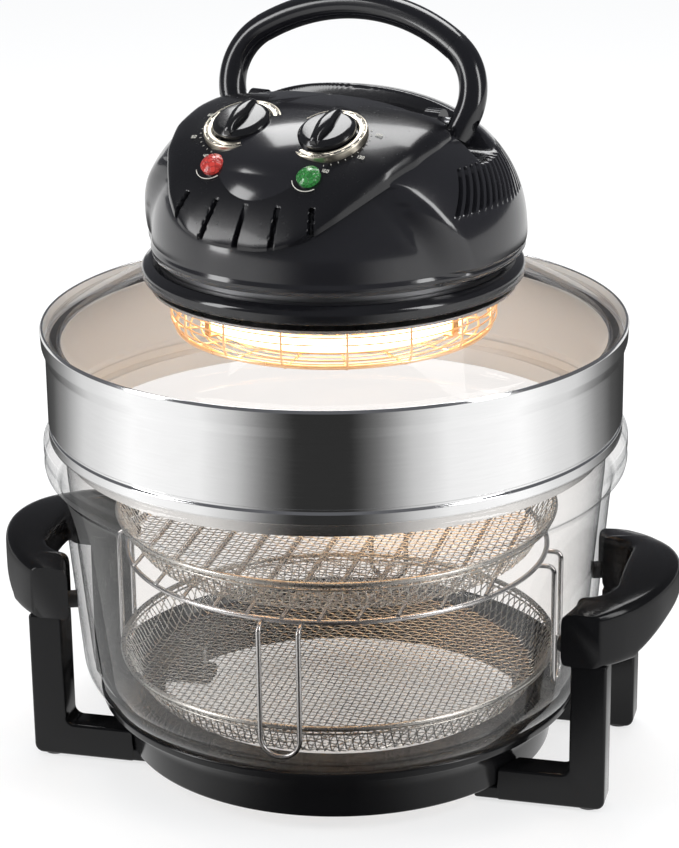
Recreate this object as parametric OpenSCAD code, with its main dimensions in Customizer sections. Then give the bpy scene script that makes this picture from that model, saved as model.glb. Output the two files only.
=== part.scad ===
// Countertop halogen air fryer: a glass bowl in a four-legged stand, a steel
// extender ring, two mesh trays with a raised rack, and a glass lid that
// carries the head with its lamp, fan, motor, controls and swing handle.
// Millimetres. The origin lies on the table under the bowl's centre, +Z is up,
// the stand's grips are at -X and +X, and the head is turned by lid_turn.

/* [Bowl] */
// Radius over the bowl's thick rim
rim_radius = 163.8; // [140:0.1:200]
// Height of the bowl from its underside to its rim
bowl_height = 155.7; // [130:0.1:200]
// Thickness of the bowl's wall
bowl_wall = 4.5; // [3:0.1:7]
// Radius of the rounded corner under the bowl
corner_radius = 26; // [20:0.5:34]
// How much the wall's radius grows for each millimetre of height
wall_slope = 0.108; // [0:0.001:0.15]

/* [Extender ring] */
// Height of the steel extender ring
extender_height = 63.5; // [50:0.5:90]
// Thickness of the ring's steel
sheet = 1; // [0.8:0.1:1.4]

/* [Stand] */
// Height of the bowl's underside above the table
bowl_lift_height = 39; // [36:0.5:60]
// Distance from the centre to the legs' outer faces
leg_reach = 166; // [160:0.5:200]
// Width of a leg's post and height of its arm
leg_width = 20; // [16:0.5:24]
// Depth of a leg from front to back
leg_depth = 18; // [14:0.5:22]
// Distance from the middle plane to the legs' outer side faces
leg_spread = 63; // [60:0.5:80]
// Height of the posts, up to the grips
post_height = 88; // [80:0.5:110]
// Distance from the centre to the grips' outermost point
grip_reach = 196; // [190:0.5:240]
// Height of the grips' crown above the table
grip_crown = 125; // [118:0.5:150]

/* [Trays and rack] */
// Depth of a mesh tray
tray_depth = 20; // [12:0.5:30]
// Height of the raised rack's ring above the bowl's inner floor
rack_height = 80.6; // [60:0.5:100]
// Diameter of the rack's wire
rack_wire = 2.8; // [2:0.1:4]
// Number of rods across the rack
rod_count = 11; // [5:2:15]

/* [Lid and head] */
// Turn of the head against the stand, seen from above
lid_turn = -15; // [-90:1:90]
// Rise of the lid's glass from its rim to the flange
lid_rise = 26; // [15:0.5:35]
// Thickness of the lid's glass, measured upright
lid_glass_t = 5.1; // [4:0.1:7]
// Radius of the black flange that clamps the lid's glass
flange_radius = 105; // [100:0.5:115]
// Radius of the rear cover
dome_radius = 106.5; // [104:0.5:118]
// Wall of the moulded covers
cover_wall = 2.5; // [2:0.1:3]
// Height of the head from its base to its top
head_height = 85; // [80:0.5:100]

/* [Heater and fan] */
// Radius of the ring-shaped halogen tube
tube_ring_radius = 72; // [64:0.5:74]
// Diameter of the halogen tube
tube_diameter = 9; // [7:0.5:11]
// Depth of the wire guard below the lid's clamp ring
guard_depth = 29; // [24:0.5:36]
// Number of uprights round the guard
guard_wires = 16; // [8:1:24]
// Diameter of the motor's shaft
shaft_diameter = 6; // [4:0.5:8]
// Radius of the fan that stirs the hot air
hot_fan_radius = 52; // [40:0.5:54]

/* [Controls and handle] */
// Outer radius of a dial ring
dial_radius = 21.4; // [19:0.1:23]
// Radius of a knob
knob_radius = 15.8; // [14:0.1:17]
// Distance of the dials from the head's middle plane
dial_offset = 26; // [24:0.5:32]
// Radius of a signal lamp's lens
lens_radius = 6.4; // [5:0.1:8]
// Number of vent slots on each side
vent_count = 14; // [6:1:15]
// Diameter of the handle's bar
handle_bar = 15.6; // [12:0.1:16]
// Height of the handle's bar above its pivot
handle_rise = 58.6; // [50:0.1:70]
// Lean of the handle towards the back as it stands
handle_lean = 21; // [0:1:30]

/* [Hidden] */
$fn = 96;

// Fits and clearances
seat_gap = 0.2;      // between stacked pieces that lift apart
side_gap = 0.8;      // round the bowl's corner, in the base ring
slip = 0.02;         // pressed or glued round fits
run = 0.06;          // running fits, on the radius
hair = 0.3;          // between pieces that are clamped or laid together

// Points along an arc, by its centre, radius and two angles
function arc(x, y, r, a0, a1, n = 8) =
  [for (i = [0:n]) let (a = a0 + (a1 - a0) * i / n) [x + r * cos(a), y + r * sin(a)]];
function flip(points) = [for (i = [len(points) - 1:-1:0]) [-points[i][0], points[i][1]]];

// ---- Bowl ----
bowl_top = bowl_lift_height + bowl_height;
collar_height = 24.7;               // the thickened band under the rim
collar_step = 8;                    // how far the band stands proud of the wall
neck_z = bowl_top - collar_height;
corner_z = bowl_lift_height + corner_radius;
rim_inner = rim_radius - 11.3;
floor_z = bowl_lift_height + bowl_wall;
function bowl_r(z) = rim_radius - collar_step - wall_slope * (neck_z - z);
corner_r = bowl_r(corner_z) - corner_radius;   // centre of the corner's arc

// ---- Extender ring ----
ext_bottom = bowl_top + hair;
ext_top = bowl_top + extender_height;
ext_r = rim_radius - 3.3;
ext_lip = ext_r + 2.5;
skirt_r = rim_inner - 0.9;
skirt_depth = 9;
lip_z = ext_top - 15.5;
ledge_z = ext_top - 10;
ledge_width = 9;

// ---- Base ring ----
ring_bottom = 10;
ring_top = bowl_lift_height + 4.5;
ring_ledge = bowl_lift_height - 2;
ring_wall_r = corner_r + 4;         // outer face at the foot of the ring
cup_r = corner_radius + side_gap;
cup_top_r = corner_r + sqrt(pow(cup_r, 2) - pow(corner_z - ring_top, 2));
ring_top_r = cup_top_r + 3.2;
ledge_in = corner_r - 18;
boss_r = 6.5;
leg_y = leg_spread - leg_depth / 2;
boss_x = sqrt(pow(ring_wall_r - 10.5, 2) - pow(leg_y, 2));

// ---- Legs, grips, feet and bumpers ----
leg_bottom = 1.5;
arm_top = leg_bottom + leg_width - 0.5;
arm_end = boss_x - 6;
post_in = leg_reach - leg_width;
foot_r = 6.5;
foot_top = 4;
screw_r = 1.6;
screw_head_r = 4;
screw_head_h = 3;
grip_arc_r = 79;                    // radius of a grip's outer edge, from above
grip_end = leg_spread + 2;
grip_inner = leg_reach - 1;
grip_gap = leg_spread - leg_depth;  // half the opening between the posts
grip_side_z = grip_crown - 7;       // top of the grip at its ends
grip_top_r = (pow(grip_end, 2) + 49) / 14;
grip_under_z = grip_crown - 20;
grip_under_r = 75;
bumper_r = 5;
bumper_z = post_height + 8;
bumper_angle = 20.8;
bumper_end = bowl_r(bumper_z + bumper_r) + 0.5;

// ---- Trays and rack ----
leg_wire_r = rack_wire / 2;
rack_leg_r = corner_r + 9.1;
inner_corner = corner_radius - bowl_wall;
rack_foot_z = corner_z - sqrt(pow(inner_corner, 2) - pow(rack_leg_r - corner_r, 2)) + leg_wire_r + 0.7;
rim_wire_r = 1.5;
tray_r = rack_leg_r - leg_wire_r - rim_wire_r - 0.7;
tray_taper = 9;
tray_skin = 1;
rack_ring_r = rack_leg_r - 8;
rack_z = floor_z + rack_height;
u_half = 11;                        // half the width of a U-shaped leg
wire_bend = 4;                      // bend where a leg turns in under the rack
low_tray_z = floor_z + hair;
high_tray_z = rack_z + 2 * leg_wire_r + hair + 0.2;

// ---- Lid ----
lid_r = ext_r - 1.3;
lid_bottom = ledge_z + 1.3;
lid_edge_r = lid_r - 5.2;
lid_edge_z = lid_bottom + 7.7;
lid_slope = lid_rise / (lid_edge_r - flange_radius);
function lid_top(r) = lid_edge_z + lid_slope * (lid_edge_r - r);
function lid_under(r) = lid_top(r) - lid_glass_t;
lid_hole = flange_radius - 11;
flange_z = lid_top(flange_radius) + hair;
plate_z = lid_top(lid_hole) + 2.7;
plate_t = 2;
plate_r = flange_radius - 9.5;
neck_h = 4;
base_z = plate_z + plate_t + neck_h;   // underside of the covers
hub_out = lid_hole - 3;
hub_in = hub_out - 2.5;

// ---- Heater and fan ----
clamp_z = lid_under(lid_hole) - hair - 1.5;
guard_r = hub_in + 1.5;
guard_wire = 0.8;
guard_ring = 1.5;
guard_z = clamp_z - guard_depth;
tube_r = tube_diameter / 2;
tube_z = guard_z + 10.5;
tube_gap_angle = 40;
tube_bend = 7;                      // bend where the tube's ends turn up
socket_r = tube_r + 2;
reflector_r = hub_in - hair;
shaft_r = shaft_diameter / 2;
bush_r = shaft_r + 3;
fan_z = guard_z + 18;
cool_fan_r = 45;
cool_fan_z = plate_z + 7;
standoff_r = 3.5;
standoff_ring = cool_fan_r + 7;
bracket_z = plate_z + 20;
stator_r = 27;
stator_h = 26;
rotor_gap = 0.7;
stator_bore = 14.5;
cap_z = bracket_z + 2 + stator_h;

// ---- Covers ----
// The panel's top is part of a cylinder lying across the head.
deck_z = base_z + 54;               // flat deck that carries the panel's back half
head_top = base_z + head_height;
panel_arc_r = 118;
panel_arc_y = -4;
panel_arc_z = head_top - panel_arc_r;
panel_front_r = flange_radius - 6.5;
panel_back = 5;                     // the panel's rear face
panel_half = 76;                    // half the panel's width
panel_foot_z = base_z + 22;         // lowest edge of the panel, in front
slant_y = -62.8;                    // where the slanted deck becomes flat
split_y = -15;                      // joint between the front and rear covers
channel_back = 28;                  // the handle's channel ends at the dome
dial_tilt = 23;
lamp_tilt = 38;
lamp_offset = 29;
floor_hole = 80;
cover_screw_r = 84;
notch_w = 3;

// ---- Handle ----
pivot_y = 16;
pivot_z = deck_z + 18;
bar_r = handle_bar / 2;
handle_half = 74.5;                 // centre line's greatest distance from the middle
top_arc = 110;
end_arc = 32;
end_angle = asin((handle_half - end_arc) / (top_arc - end_arc));
end_cx = handle_half - end_arc;
end_cy = handle_rise - top_arc + (top_arc - end_arc) * cos(end_angle);
foot_angle = 20;
foot_x = end_cx + end_arc * cos(foot_angle);
foot_y = end_cy - end_arc * sin(foot_angle);
foot_end = -7.2;                    // the bar's end, measured from the pivot
foot_len = (foot_y - foot_end) / cos(foot_angle);
rod_r = 3;
ear_out = foot_x - foot_len * sin(foot_angle) - bar_r / cos(foot_angle) - 1.2;
ear_w = 9;

module spin(points, angle = 360) rotate_extrude(angle = angle) polygon(points);
module torus(r, wire) rotate_extrude() translate([r, 0]) circle(r = wire);
module tube_cut(r_out, r_in, h) {
  difference() {
    cylinder(r = r_out, h = h);
    translate([0, 0, -1]) cylinder(r = r_in, h = h + 2);
  }
}
// Turns a piece of the head with the lid
module head() rotate([0, 0, lid_turn]) children();
// Extrudes a side outline, given as [y, z], across the head
module side_prism(points, width) rotate([90, 0, 90]) linear_extrude(width, center = true) polygon(points);
// Extrudes a front outline, given as [x, z], along the head
module front_prism(points, depth) rotate([90, 0, 0]) linear_extrude(depth, center = true) polygon(points);
// Places a piece on the panel: x across, tilt along its arc, lift above it
module on_panel(x, tilt, lift) {
  translate([x, panel_arc_y, panel_arc_z])
    rotate([tilt, 0, 0])
      translate([0, 0, panel_arc_r + lift]) children();
}

// ================= Stand =================
module base_ring() {
  color("#161617")
  difference() {
    union() {
      spin(concat(
        [[ring_wall_r - 5.5, ring_bottom], [ring_wall_r - 2, ring_bottom]],
        arc(ring_wall_r - 2, ring_bottom + 2, 2, -90, 0, 4),
        [for (t = [0:18:90]) [ring_wall_r + 0.8 + (ring_top_r - 1.6 - ring_wall_r) * (1 - cos(t)),
          ring_top - 15 + 9.5 * sin(t)]],
        arc(ring_top_r - 1.4, ring_top - 1.4, 1.4, -10, 90, 5),
        [[cup_top_r, ring_top]],
        arc(corner_r, corner_z, cup_r, asin((ring_top - corner_z) / cup_r), -84, 8),
        [[corner_r - 3, ring_ledge], [ledge_in, ring_ledge], [ledge_in, ring_ledge - 3.5],
         [ring_wall_r - 5.5, ring_ledge - 3.5]]
      ));
      for (sx = [-1, 1], sy = [-1, 1])
        translate([sx * boss_x, sy * leg_y, ring_bottom])
          cylinder(r = boss_r, h = ring_ledge - 2 - ring_bottom);
    }
    for (sx = [-1, 1], sy = [-1, 1])
      translate([sx * boss_x, sy * leg_y, ring_bottom - 1])
        cylinder(r = screw_r + slip, h = 17);
  }
}

module seat_gasket() {
  color("#2a2a2c")
  translate([0, 0, ring_ledge])
    tube_cut(corner_r - 5, ledge_in + 2, bowl_lift_height - seat_gap - ring_ledge);
}

module leg(sx, sy) {
  outline = concat(
    [[arm_end, leg_bottom]],
    arc(leg_reach - 6, leg_bottom + 6, 6, -90, 0, 6),
    [[leg_reach, post_height], [post_in, post_height]],
    arc(post_in - 4, arm_top + 4, 4, 0, -90, 5),
    [[arm_end, arm_top]]
  );
  scale_x = sx < 0 ? 180 : 0;
  color("#141415")
  difference() {
    translate([0, sy * leg_y, 0])
      rotate([0, 0, scale_x]) front_prism(outline, leg_depth);
    translate([0, 0, ring_bottom]) cylinder(r = ring_wall_r + 1.2, h = leg_width);
    translate([sx * boss_x, sy * leg_y, 0]) {
      cylinder(r = screw_r + 0.2, h = ring_bottom + 1);
      cylinder(r = screw_head_r + 0.2, h = leg_bottom + screw_head_h);
    }
    translate([sx * (post_in + leg_width / 2), sy * leg_y, -1])
      cylinder(r = foot_r + slip, h = foot_top + 1);
  }
}
module left_front_leg() leg(-1, -1);
module left_rear_leg() leg(-1, 1);
module right_front_leg() leg(1, -1);
module right_rear_leg() leg(1, 1);

module grip(sx) {
  corner = 20;
  centre_x = grip_reach - grip_arc_r;
  side = concat(
    [[grip_end, post_height], [grip_end, grip_side_z]],
    arc(0, grip_crown - grip_top_r, grip_top_r, 90 - asin((grip_end - 1) / grip_top_r),
      90 + asin((grip_end - 1) / grip_top_r), 12),
    [[-grip_end, grip_side_z], [-grip_end, post_height], [-grip_gap, post_height]],
    arc(0, grip_under_z - grip_under_r, grip_under_r, 90 + asin((grip_gap - 1) / grip_under_r),
      90 - asin((grip_gap - 1) / grip_under_r), 10),
    [[grip_gap, post_height]]
  );
  color("#1b1b1d")
  rotate([0, 0, sx < 0 ? 180 : 0])
    difference() {
      intersection() {
        translate([centre_x, 0, post_height - 1]) cylinder(r = grip_arc_r, h = 60);
        translate([post_in - 2, -grip_end, post_height - 1]) cube([80, 2 * grip_end, 60]);
        side_prism(side, 2 * grip_reach + 40);
      }
      // Opening for the fingers
      translate([0, 0, post_height - 2])
        linear_extrude(80)
          polygon(concat(
            [[post_in - 20, -grip_gap]],
            arc(grip_inner - corner, -grip_gap + corner, corner, -90, 0, 6),
            arc(grip_inner - corner, grip_gap - corner, corner, 0, 90, 6),
            [[post_in - 20, grip_gap]]
          ));
      // Room for the bowl
      translate([0, 0, post_height - 2]) cylinder(r = bowl_r(grip_crown) + 2.6, h = 80);
      for (sy = [-1, 1])
        rotate([0, 0, sy * bumper_angle])
          translate([bumper_end, 0, bumper_z]) rotate([0, 90, 0])
            cylinder(r = bumper_r + slip, h = 12);
    }
}
module left_grip() grip(-1);
module right_grip() grip(1);

module bowl_bumpers() {
  color("#0f0f10")
  for (base = [0, 180], sy = [-1, 1])
    rotate([0, 0, base + sy * bumper_angle])
      translate([bumper_end, 0, bumper_z]) rotate([0, 90, 0]) cylinder(r = bumper_r, h = 12);
}

module rubber_feet() {
  color("#3a3a3c")
  for (sx = [-1, 1], sy = [-1, 1])
    translate([sx * (post_in + leg_width / 2), sy * leg_y, 0]) cylinder(r = foot_r, h = foot_top);
}

module leg_screws() {
  color("#b8b8b8")
  for (sx = [-1, 1], sy = [-1, 1])
    translate([sx * boss_x, sy * leg_y, leg_bottom]) {
      translate([0, 0, screw_head_h - 2.4]) cylinder(r = screw_head_r, h = 2.4);
      translate([0, 0, screw_head_h - 1]) cylinder(r = screw_r, h = 20);
    }
}

// ================= Bowl and extender =================
module glass_bowl() {
  color("#cfd8dc", 0.35)
  spin(concat(
    [[0, bowl_lift_height]],
    arc(corner_r, corner_z, corner_radius, -90, 0, 12),
    [[bowl_r(neck_z), neck_z], [rim_radius - 3.8, neck_z + 6], [rim_radius - 0.5, neck_z + 9.5],
     [rim_radius, neck_z + 13], [rim_radius, neck_z + 20], [rim_radius - 1.3, bowl_top - 1.2],
     [rim_radius - 3.8, bowl_top], [rim_inner + 1.5, bowl_top], [rim_inner, bowl_top - 1.5],
     [bowl_r(neck_z) - bowl_wall, neck_z]],
    arc(corner_r, corner_z, inner_corner, 0, -90, 12),
    [[0, floor_z]]
  ));
}

module extender_ring() {
  color("#c9cacc")
  spin([
    [skirt_r - sheet, ext_bottom - skirt_depth], [skirt_r, ext_bottom - skirt_depth],
    [skirt_r, ext_bottom], [ext_r, ext_bottom], [ext_r, lip_z],
    [ext_lip - 0.5, lip_z + 6], [ext_lip, lip_z + 10], [ext_lip - 0.4, ext_top],
    [ext_lip - sheet - 0.6, ext_top], [ext_lip - sheet - 0.2, lip_z + 10],
    [ext_lip - sheet - 0.6, ledge_z], [ext_r - ledge_width, ledge_z],
    [ext_r - ledge_width, ledge_z - sheet], [ext_lip - sheet - 1.2, ledge_z - sheet],
    [ext_r - sheet, lip_z], [ext_r - sheet, ext_bottom + sheet],
    [skirt_r - sheet, ext_bottom + sheet]
  ]);
}

// ================= Trays and rack =================
module u_leg(angle) {
  drop = rack_z - leg_wire_r - rack_foot_z - u_half - wire_bend;
  rotate([0, 0, angle])
    translate([rack_leg_r, 0, rack_foot_z + u_half]) {
      rotate([90, 0, 90]) rotate([0, 0, 180])
        rotate_extrude(angle = 180) translate([u_half, 0]) circle(r = leg_wire_r);
      for (s = [-1, 1]) {
        translate([0, s * u_half, 0]) cylinder(r = leg_wire_r, h = drop);
        translate([0, s * u_half, drop]) {
          translate([-wire_bend, 0, 0]) rotate([90, 0, 0])
            rotate_extrude(angle = 90) translate([wire_bend, 0]) circle(r = leg_wire_r);
          translate([-wire_bend, 0, wire_bend]) rotate([0, -90, 0])
            cylinder(r = leg_wire_r, h = rack_leg_r - rack_ring_r - wire_bend + 1);
        }
      }
    }
}

module high_rack() {
  pitch = 2 * rack_ring_r / (rod_count + 1);
  color("#b9bcc0") {
    translate([0, 0, rack_z]) torus(rack_ring_r, leg_wire_r);
    for (i = [1:rod_count])
      let (x = -rack_ring_r + i * pitch, half = sqrt(pow(rack_ring_r, 2) - x * x) + 0.5)
        translate([x, half, rack_z + leg_wire_r]) rotate([90, 0, 0])
          cylinder(r = leg_wire_r * 0.8, h = 2 * half);
    for (angle = [0:90:270]) u_leg(angle);
  }
}

module mesh_tray(z) {
  translate([0, 0, z]) {
    spin([
      [0, 0], [tray_r - tray_taper, 0], [tray_r - 1, tray_depth - 1], [tray_r + 0.2, tray_depth],
      [tray_r - 1 - tray_skin, tray_depth], [tray_r - tray_taper - tray_skin * 0.7, tray_skin],
      [0, tray_skin]
    ]);
    translate([0, 0, tray_depth]) torus(tray_r, rim_wire_r);
  }
}
module upper_mesh_tray() color("#c3c5c8") mesh_tray(high_tray_z);
module lower_mesh_tray() color("#c3c5c8") mesh_tray(low_tray_z);

// ================= Lid =================
module lid_glass() {
  color("#d6dee2", 0.35)
  spin([
    [lid_edge_r, lid_bottom], [lid_r - 1, lid_bottom], [lid_r, lid_bottom + 1.2],
    [lid_r, lid_bottom + 4.7], [lid_r - 2, lid_bottom + 7], [lid_edge_r, lid_edge_z],
    [lid_hole, lid_top(lid_hole)], [lid_hole, lid_under(lid_hole)],
    [lid_edge_r - 2, lid_under(lid_edge_r - 2)], [lid_edge_r - 0.6, lid_bottom + 1]
  ]);
}

module lid_seal() {
  color("#2b2b2d")
  translate([0, 0, ledge_z + hair]) tube_cut(lid_r - 1.2, lid_edge_r + 0.3, lid_bottom - ledge_z - hair);
}

module lid_flange() {
  color("#26262a")
  spin([
    [flange_radius, flange_z], [flange_radius + 0.4, flange_z + 2],
    [flange_radius + 0.2, plate_z - 1.5], [flange_radius - 1, plate_z + 0.5],
    [flange_radius - 4, plate_z + 1.8], [plate_r + 0.4, plate_z + 2.2], [plate_r + 0.4, plate_z],
    [hub_out + 0.4, plate_z], [hub_out + 0.4, plate_z - 1.5], [lid_hole, lid_top(lid_hole) + hair]
  ]);
}

module clamp_ring() {
  edge = lid_hole + 7;
  color("#b9babd")
  spin([
    [hub_in, plate_z], [hub_out, plate_z], [hub_out, lid_under(lid_hole) - hair],
    [lid_hole, lid_under(lid_hole) - hair], [edge, lid_under(edge) - hair],
    [edge, lid_under(edge) - hair - 1.5], [lid_hole, clamp_z], [hub_in, clamp_z]
  ]);
}

module mounting_plate() {
  color("#4a4a4d")
  head() difference() {
    union() {
      translate([0, 0, plate_z]) cylinder(r = plate_r, h = plate_t);
      translate([0, 0, plate_z + plate_t]) tube_cut(plate_r, plate_r - 3.5, neck_h);
    }
    translate([0, 0, plate_z - 1]) cylinder(r = bush_r + slip, h = plate_t + 2);
    for (a = [45:90:315]) rotate([0, 0, a]) translate([cover_screw_r, 0, plate_z - 1]) {
      cylinder(r = screw_r + 0.1, h = plate_t + 2);
      cylinder(r = 3.3, h = 2.2);
    }
  }
}

module housing_screws() {
  color("#b8b8b8")
  head() for (a = [45:90:315]) rotate([0, 0, a]) translate([cover_screw_r, 0, plate_z]) {
    cylinder(r = 3.2, h = 1.1);
    cylinder(r = screw_r, h = plate_t + neck_h + 7);
  }
}

// ================= Heater =================
module reflector() {
  color("#d9d9db")
  spin([
    [bush_r + 2, plate_z], [tube_ring_radius + 8, plate_z], [reflector_r, plate_z - 8],
    [reflector_r, plate_z - 9.2], [tube_ring_radius + 7.6, plate_z - 1], [bush_r + 2, plate_z - 1]
  ]);
}

module at_tube_ends() {
  for (s = [-1, 1])
    rotate([0, 0, 90 + s * tube_gap_angle / 2]) translate([tube_ring_radius, -s * tube_bend, 0]) children();
}

module halogen_tube() {
  color("#ffd9a0")
  head() {
    translate([0, 0, tube_z]) rotate([0, 0, 90 + tube_gap_angle / 2])
      rotate_extrude(angle = 360 - tube_gap_angle) translate([tube_ring_radius, 0]) circle(r = tube_r);
    for (s = [-1, 1]) rotate([0, 0, 90 + s * tube_gap_angle / 2]) translate([tube_ring_radius, 0, tube_z]) {
      translate([0, 0, tube_bend]) rotate([0, 0, s < 0 ? 180 : 0]) rotate([0, 90, 0]) rotate([0, 0, 90])
        rotate_extrude(angle = 90) translate([tube_bend, 0]) circle(r = tube_r);
      translate([0, -s * tube_bend, tube_bend]) cylinder(r = tube_r, h = 6);
    }
  }
}

module lamp_sockets() {
  color("#e8e4da")
  head() at_tube_ends() difference() {
    translate([0, 0, tube_z + tube_bend + 3]) cylinder(r = socket_r, h = plate_z - 4 - tube_z - tube_bend);
    translate([0, 0, tube_z + tube_bend + 2]) cylinder(r = tube_r + 0.1, h = 4.2);
  }
}

module tube_clips() {
  color("#a88c5a")
  head() for (a = [-3, 117, 237]) rotate([0, 0, a]) {
    translate([tube_ring_radius + tube_r + hair, -3, tube_z - tube_r])
      cube([1, 6, plate_z - 1 - tube_z + tube_r]);
    translate([tube_ring_radius - 3, -3, tube_z - tube_r - hair - 1])
      cube([tube_r + hair + 4, 6, 1]);
  }
}

module heater_guard() {
  eye_r = 18;
  color("#c8c9cb")
  head() {
    translate([0, 0, guard_z]) torus(guard_r, guard_ring);
    translate([0, 0, guard_z]) torus(eye_r, guard_ring);
    translate([0, 0, clamp_z - 1.2]) torus(guard_r, 1.2);
    for (i = [0:guard_wires - 1]) rotate([0, 0, (i + 0.5) * 360 / guard_wires]) {
      translate([guard_r + 0.2, 0, guard_z + 0.4]) cylinder(r = guard_wire, h = guard_depth - 1.8);
      translate([eye_r + 0.3, 0, guard_z - 0.2]) rotate([0, 90, 0])
        cylinder(r = guard_wire, h = guard_r - eye_r - 0.7);
    }
  }
}

// ================= Covers =================
front_outline = [
  [0, base_z], [102, base_z], [101.8, base_z + 4], [100.8, base_z + 11], [100.6, base_z + 18],
  [101.2, base_z + 23], [99.4, base_z + 34], [95, base_z + 43], [88.5, base_z + 50],
  [81, base_z + 53.5], [76, deck_z], [0, deck_z]
];
rear_outline = [
  [0, base_z], [dome_radius - 3, base_z], [dome_radius - 0.4, base_z + 4],
  [dome_radius, base_z + 9], [dome_radius - 0.4, base_z + 16], [dome_radius - 2.4, base_z + 27],
  [dome_radius - 6.5, base_z + 40], [dome_radius - 14, base_z + 54], [dome_radius - 24, base_z + 65],
  [dome_radius - 40, base_z + 75], [dome_radius - 62, base_z + 81.5],
  [dome_radius - 84, base_z + head_height - 0.8], [0, base_z + head_height]
];
// The same outline, one wall further in and standing on the cover's floor
function inside(points, wall) =
  let (top = points[len(points) - 1][1])
  [for (p = points) [max(p[0] - wall, 0), max(base_z + 2, min(p[1] - (p[1] > base_z + 40 ? wall * 0.8 : 0), top - wall))]];

// Everything below the panel, as seen from the side; drop moves it down
module below_panel(drop) {
  side_prism([
    [-140, base_z - 1], [-140, panel_foot_z - 37 - drop], [-99, panel_foot_z - drop],
    [slant_y, deck_z - drop], [60, deck_z - drop], [60, base_z - 1]
  ], 260);
}

module front_housing() {
  color("#3b3b40")
  head() difference() {
    intersection() {
      spin(front_outline);
      below_panel(0);
      translate([-130, -130, 0]) cube([260, 130 + split_y, 500]);
    }
    intersection() {
      spin(inside(front_outline, cover_wall));
      below_panel(cover_wall);
    }
    translate([0, 0, base_z - 1]) cylinder(r = floor_hole, h = 4);
    // Well for the timer and the thermostat
    translate([-58, -74, base_z + 10]) cube([116, 56, 60]);
    for (a = [225, 315]) rotate([0, 0, a]) translate([cover_screw_r, 0, base_z - 1])
      cylinder(r = screw_r + 0.1, h = 4);
  }
}

module rear_cover() {
  vent_pitch = 3.1;
  vent_w = 1.6;
  color("#38383d")
  head() difference() {
    intersection() {
      spin(rear_outline);
      translate([-130, split_y, 0]) cube([260, 260, 500]);
    }
    translate([-130, -60, deck_z]) cube([260, 60 + channel_back, 100]);
    difference() {
      intersection() {
        spin(inside(rear_outline, cover_wall));
        translate([-130, split_y + cover_wall, 0]) cube([260, 260, 500]);
      }
      translate([-130, -60, deck_z - cover_wall]) cube([260, 60 + channel_back + cover_wall, 100]);
    }
    translate([0, 0, base_z - 1]) cylinder(r = floor_hole, h = 4);
    // Passage to the front housing
    translate([-84, split_y - 1, base_z + 3]) cube([168, 10, 46]);
    for (side = [0, 1], i = [0:vent_count - 1])
      mirror([side, 0, 0]) translate([78, i * vent_pitch - 1, base_z + 42])
        cube([40, vent_w, 20]);
    for (a = [45, 135]) rotate([0, 0, a]) translate([cover_screw_r, 0, base_z - 1])
      cylinder(r = screw_r + 0.1, h = 4);
    translate([0, 90, base_z + 14]) rotate([-90, 0, 0]) cylinder(r = 7.1, h = 40);
  }
}

module panel_body(wall) {
  half = arc(panel_arc_y, panel_arc_z, panel_arc_r - wall, 90 - asin((panel_back - panel_arc_y) / panel_arc_r), 160, 16);
  shoulder = [
    [panel_half - 6 - wall, base_z], [panel_half - 5 - wall, deck_z - 4],
    [panel_half - wall, deck_z + 6], [panel_half - 1 - wall, deck_z + 13],
    [panel_half - 5 - wall * 0.8, deck_z + 20 - wall * 0.5], [panel_half - 12 - wall * 0.5, deck_z + 25.5 - wall * 0.9],
    [panel_half - 28, deck_z + 29 - wall], [panel_half - 50, deck_z + 31 - wall]
  ];
  intersection() {
    side_prism(concat([[panel_back - wall, base_z]], [[panel_back - wall, panel_arc_z + panel_arc_r - wall - 0.4]],
      half, [[-130, panel_arc_z + 30], [-130, base_z]]), 240);
    front_prism(concat(shoulder, flip(shoulder)), 260);
    cylinder(r = panel_front_r - wall, h = 500);
  }
}

module control_panel() {
  color("#2a2a2f")
  head() difference() {
    panel_body(0);
    panel_body(cover_wall);
    below_panel(0);
    for (x = [-dial_offset, dial_offset])
      on_panel(x, dial_tilt, -6) cylinder(r = 3.6, h = 12);
    for (x = [-lamp_offset, lamp_offset])
      on_panel(x, lamp_tilt, -6) cylinder(r = lens_radius + 0.1, h = 12);
    // Five finger notches in the front edge
    for (a = [-27, -13, 0, 13, 27])
      rotate([0, 0, a]) translate([-notch_w / 2, -panel_front_r - 4, base_z])
        cube([notch_w, 12, 43 + abs(a) * 0.12]);
  }
}

module dial_ring(x) {
  head() difference() {
    on_panel(x, dial_tilt, -4) tube_cut(dial_radius, knob_radius + 0.8, 5.2);
    panel_body(0);
  }
}
module left_dial_ring() color("#c9bfa8") dial_ring(-dial_offset);
module right_dial_ring() color("#c9bfa8") dial_ring(dial_offset);

module lens(x) {
  head() on_panel(x, lamp_tilt, 0) {
    translate([0, 0, -3]) cylinder(r = lens_radius, h = 3.6);
    intersection() {
      translate([0, 0, -8.4]) sphere(r = 11);
      translate([0, 0, 0.6]) cylinder(r = lens_radius, h = 4);
    }
  }
}
module red_lamp_lens() color("#c4352b") lens(-lamp_offset);
module green_lamp_lens() color("#2f8f46") lens(lamp_offset);

module lamp_holders() {
  color("#d8d4c8")
  head() for (x = [-lamp_offset, lamp_offset])
    on_panel(x, lamp_tilt, -15) cylinder(r = lens_radius - 0.6, h = 12);
}

module control_body(x) {
  head() on_panel(x, dial_tilt, 0) difference() {
    union() {
      translate([-14, -14, -22]) cube([28, 28, 18]);
      translate([0, 0, -4.5]) cylinder(r = 6, h = 1.6);
    }
    translate([0, 0, -18]) cylinder(r = rod_r + run, h = 20);
  }
}
module timer() color("#dcd8cc") control_body(-dial_offset);
module thermostat() color("#c9c5ba") control_body(dial_offset);

module spindle(x) head() on_panel(x, dial_tilt, -17.5) cylinder(r = rod_r, h = 26);
module timer_spindle() color("#d8b46a") spindle(-dial_offset);
module thermostat_spindle() color("#d8b46a") spindle(dial_offset);

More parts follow.
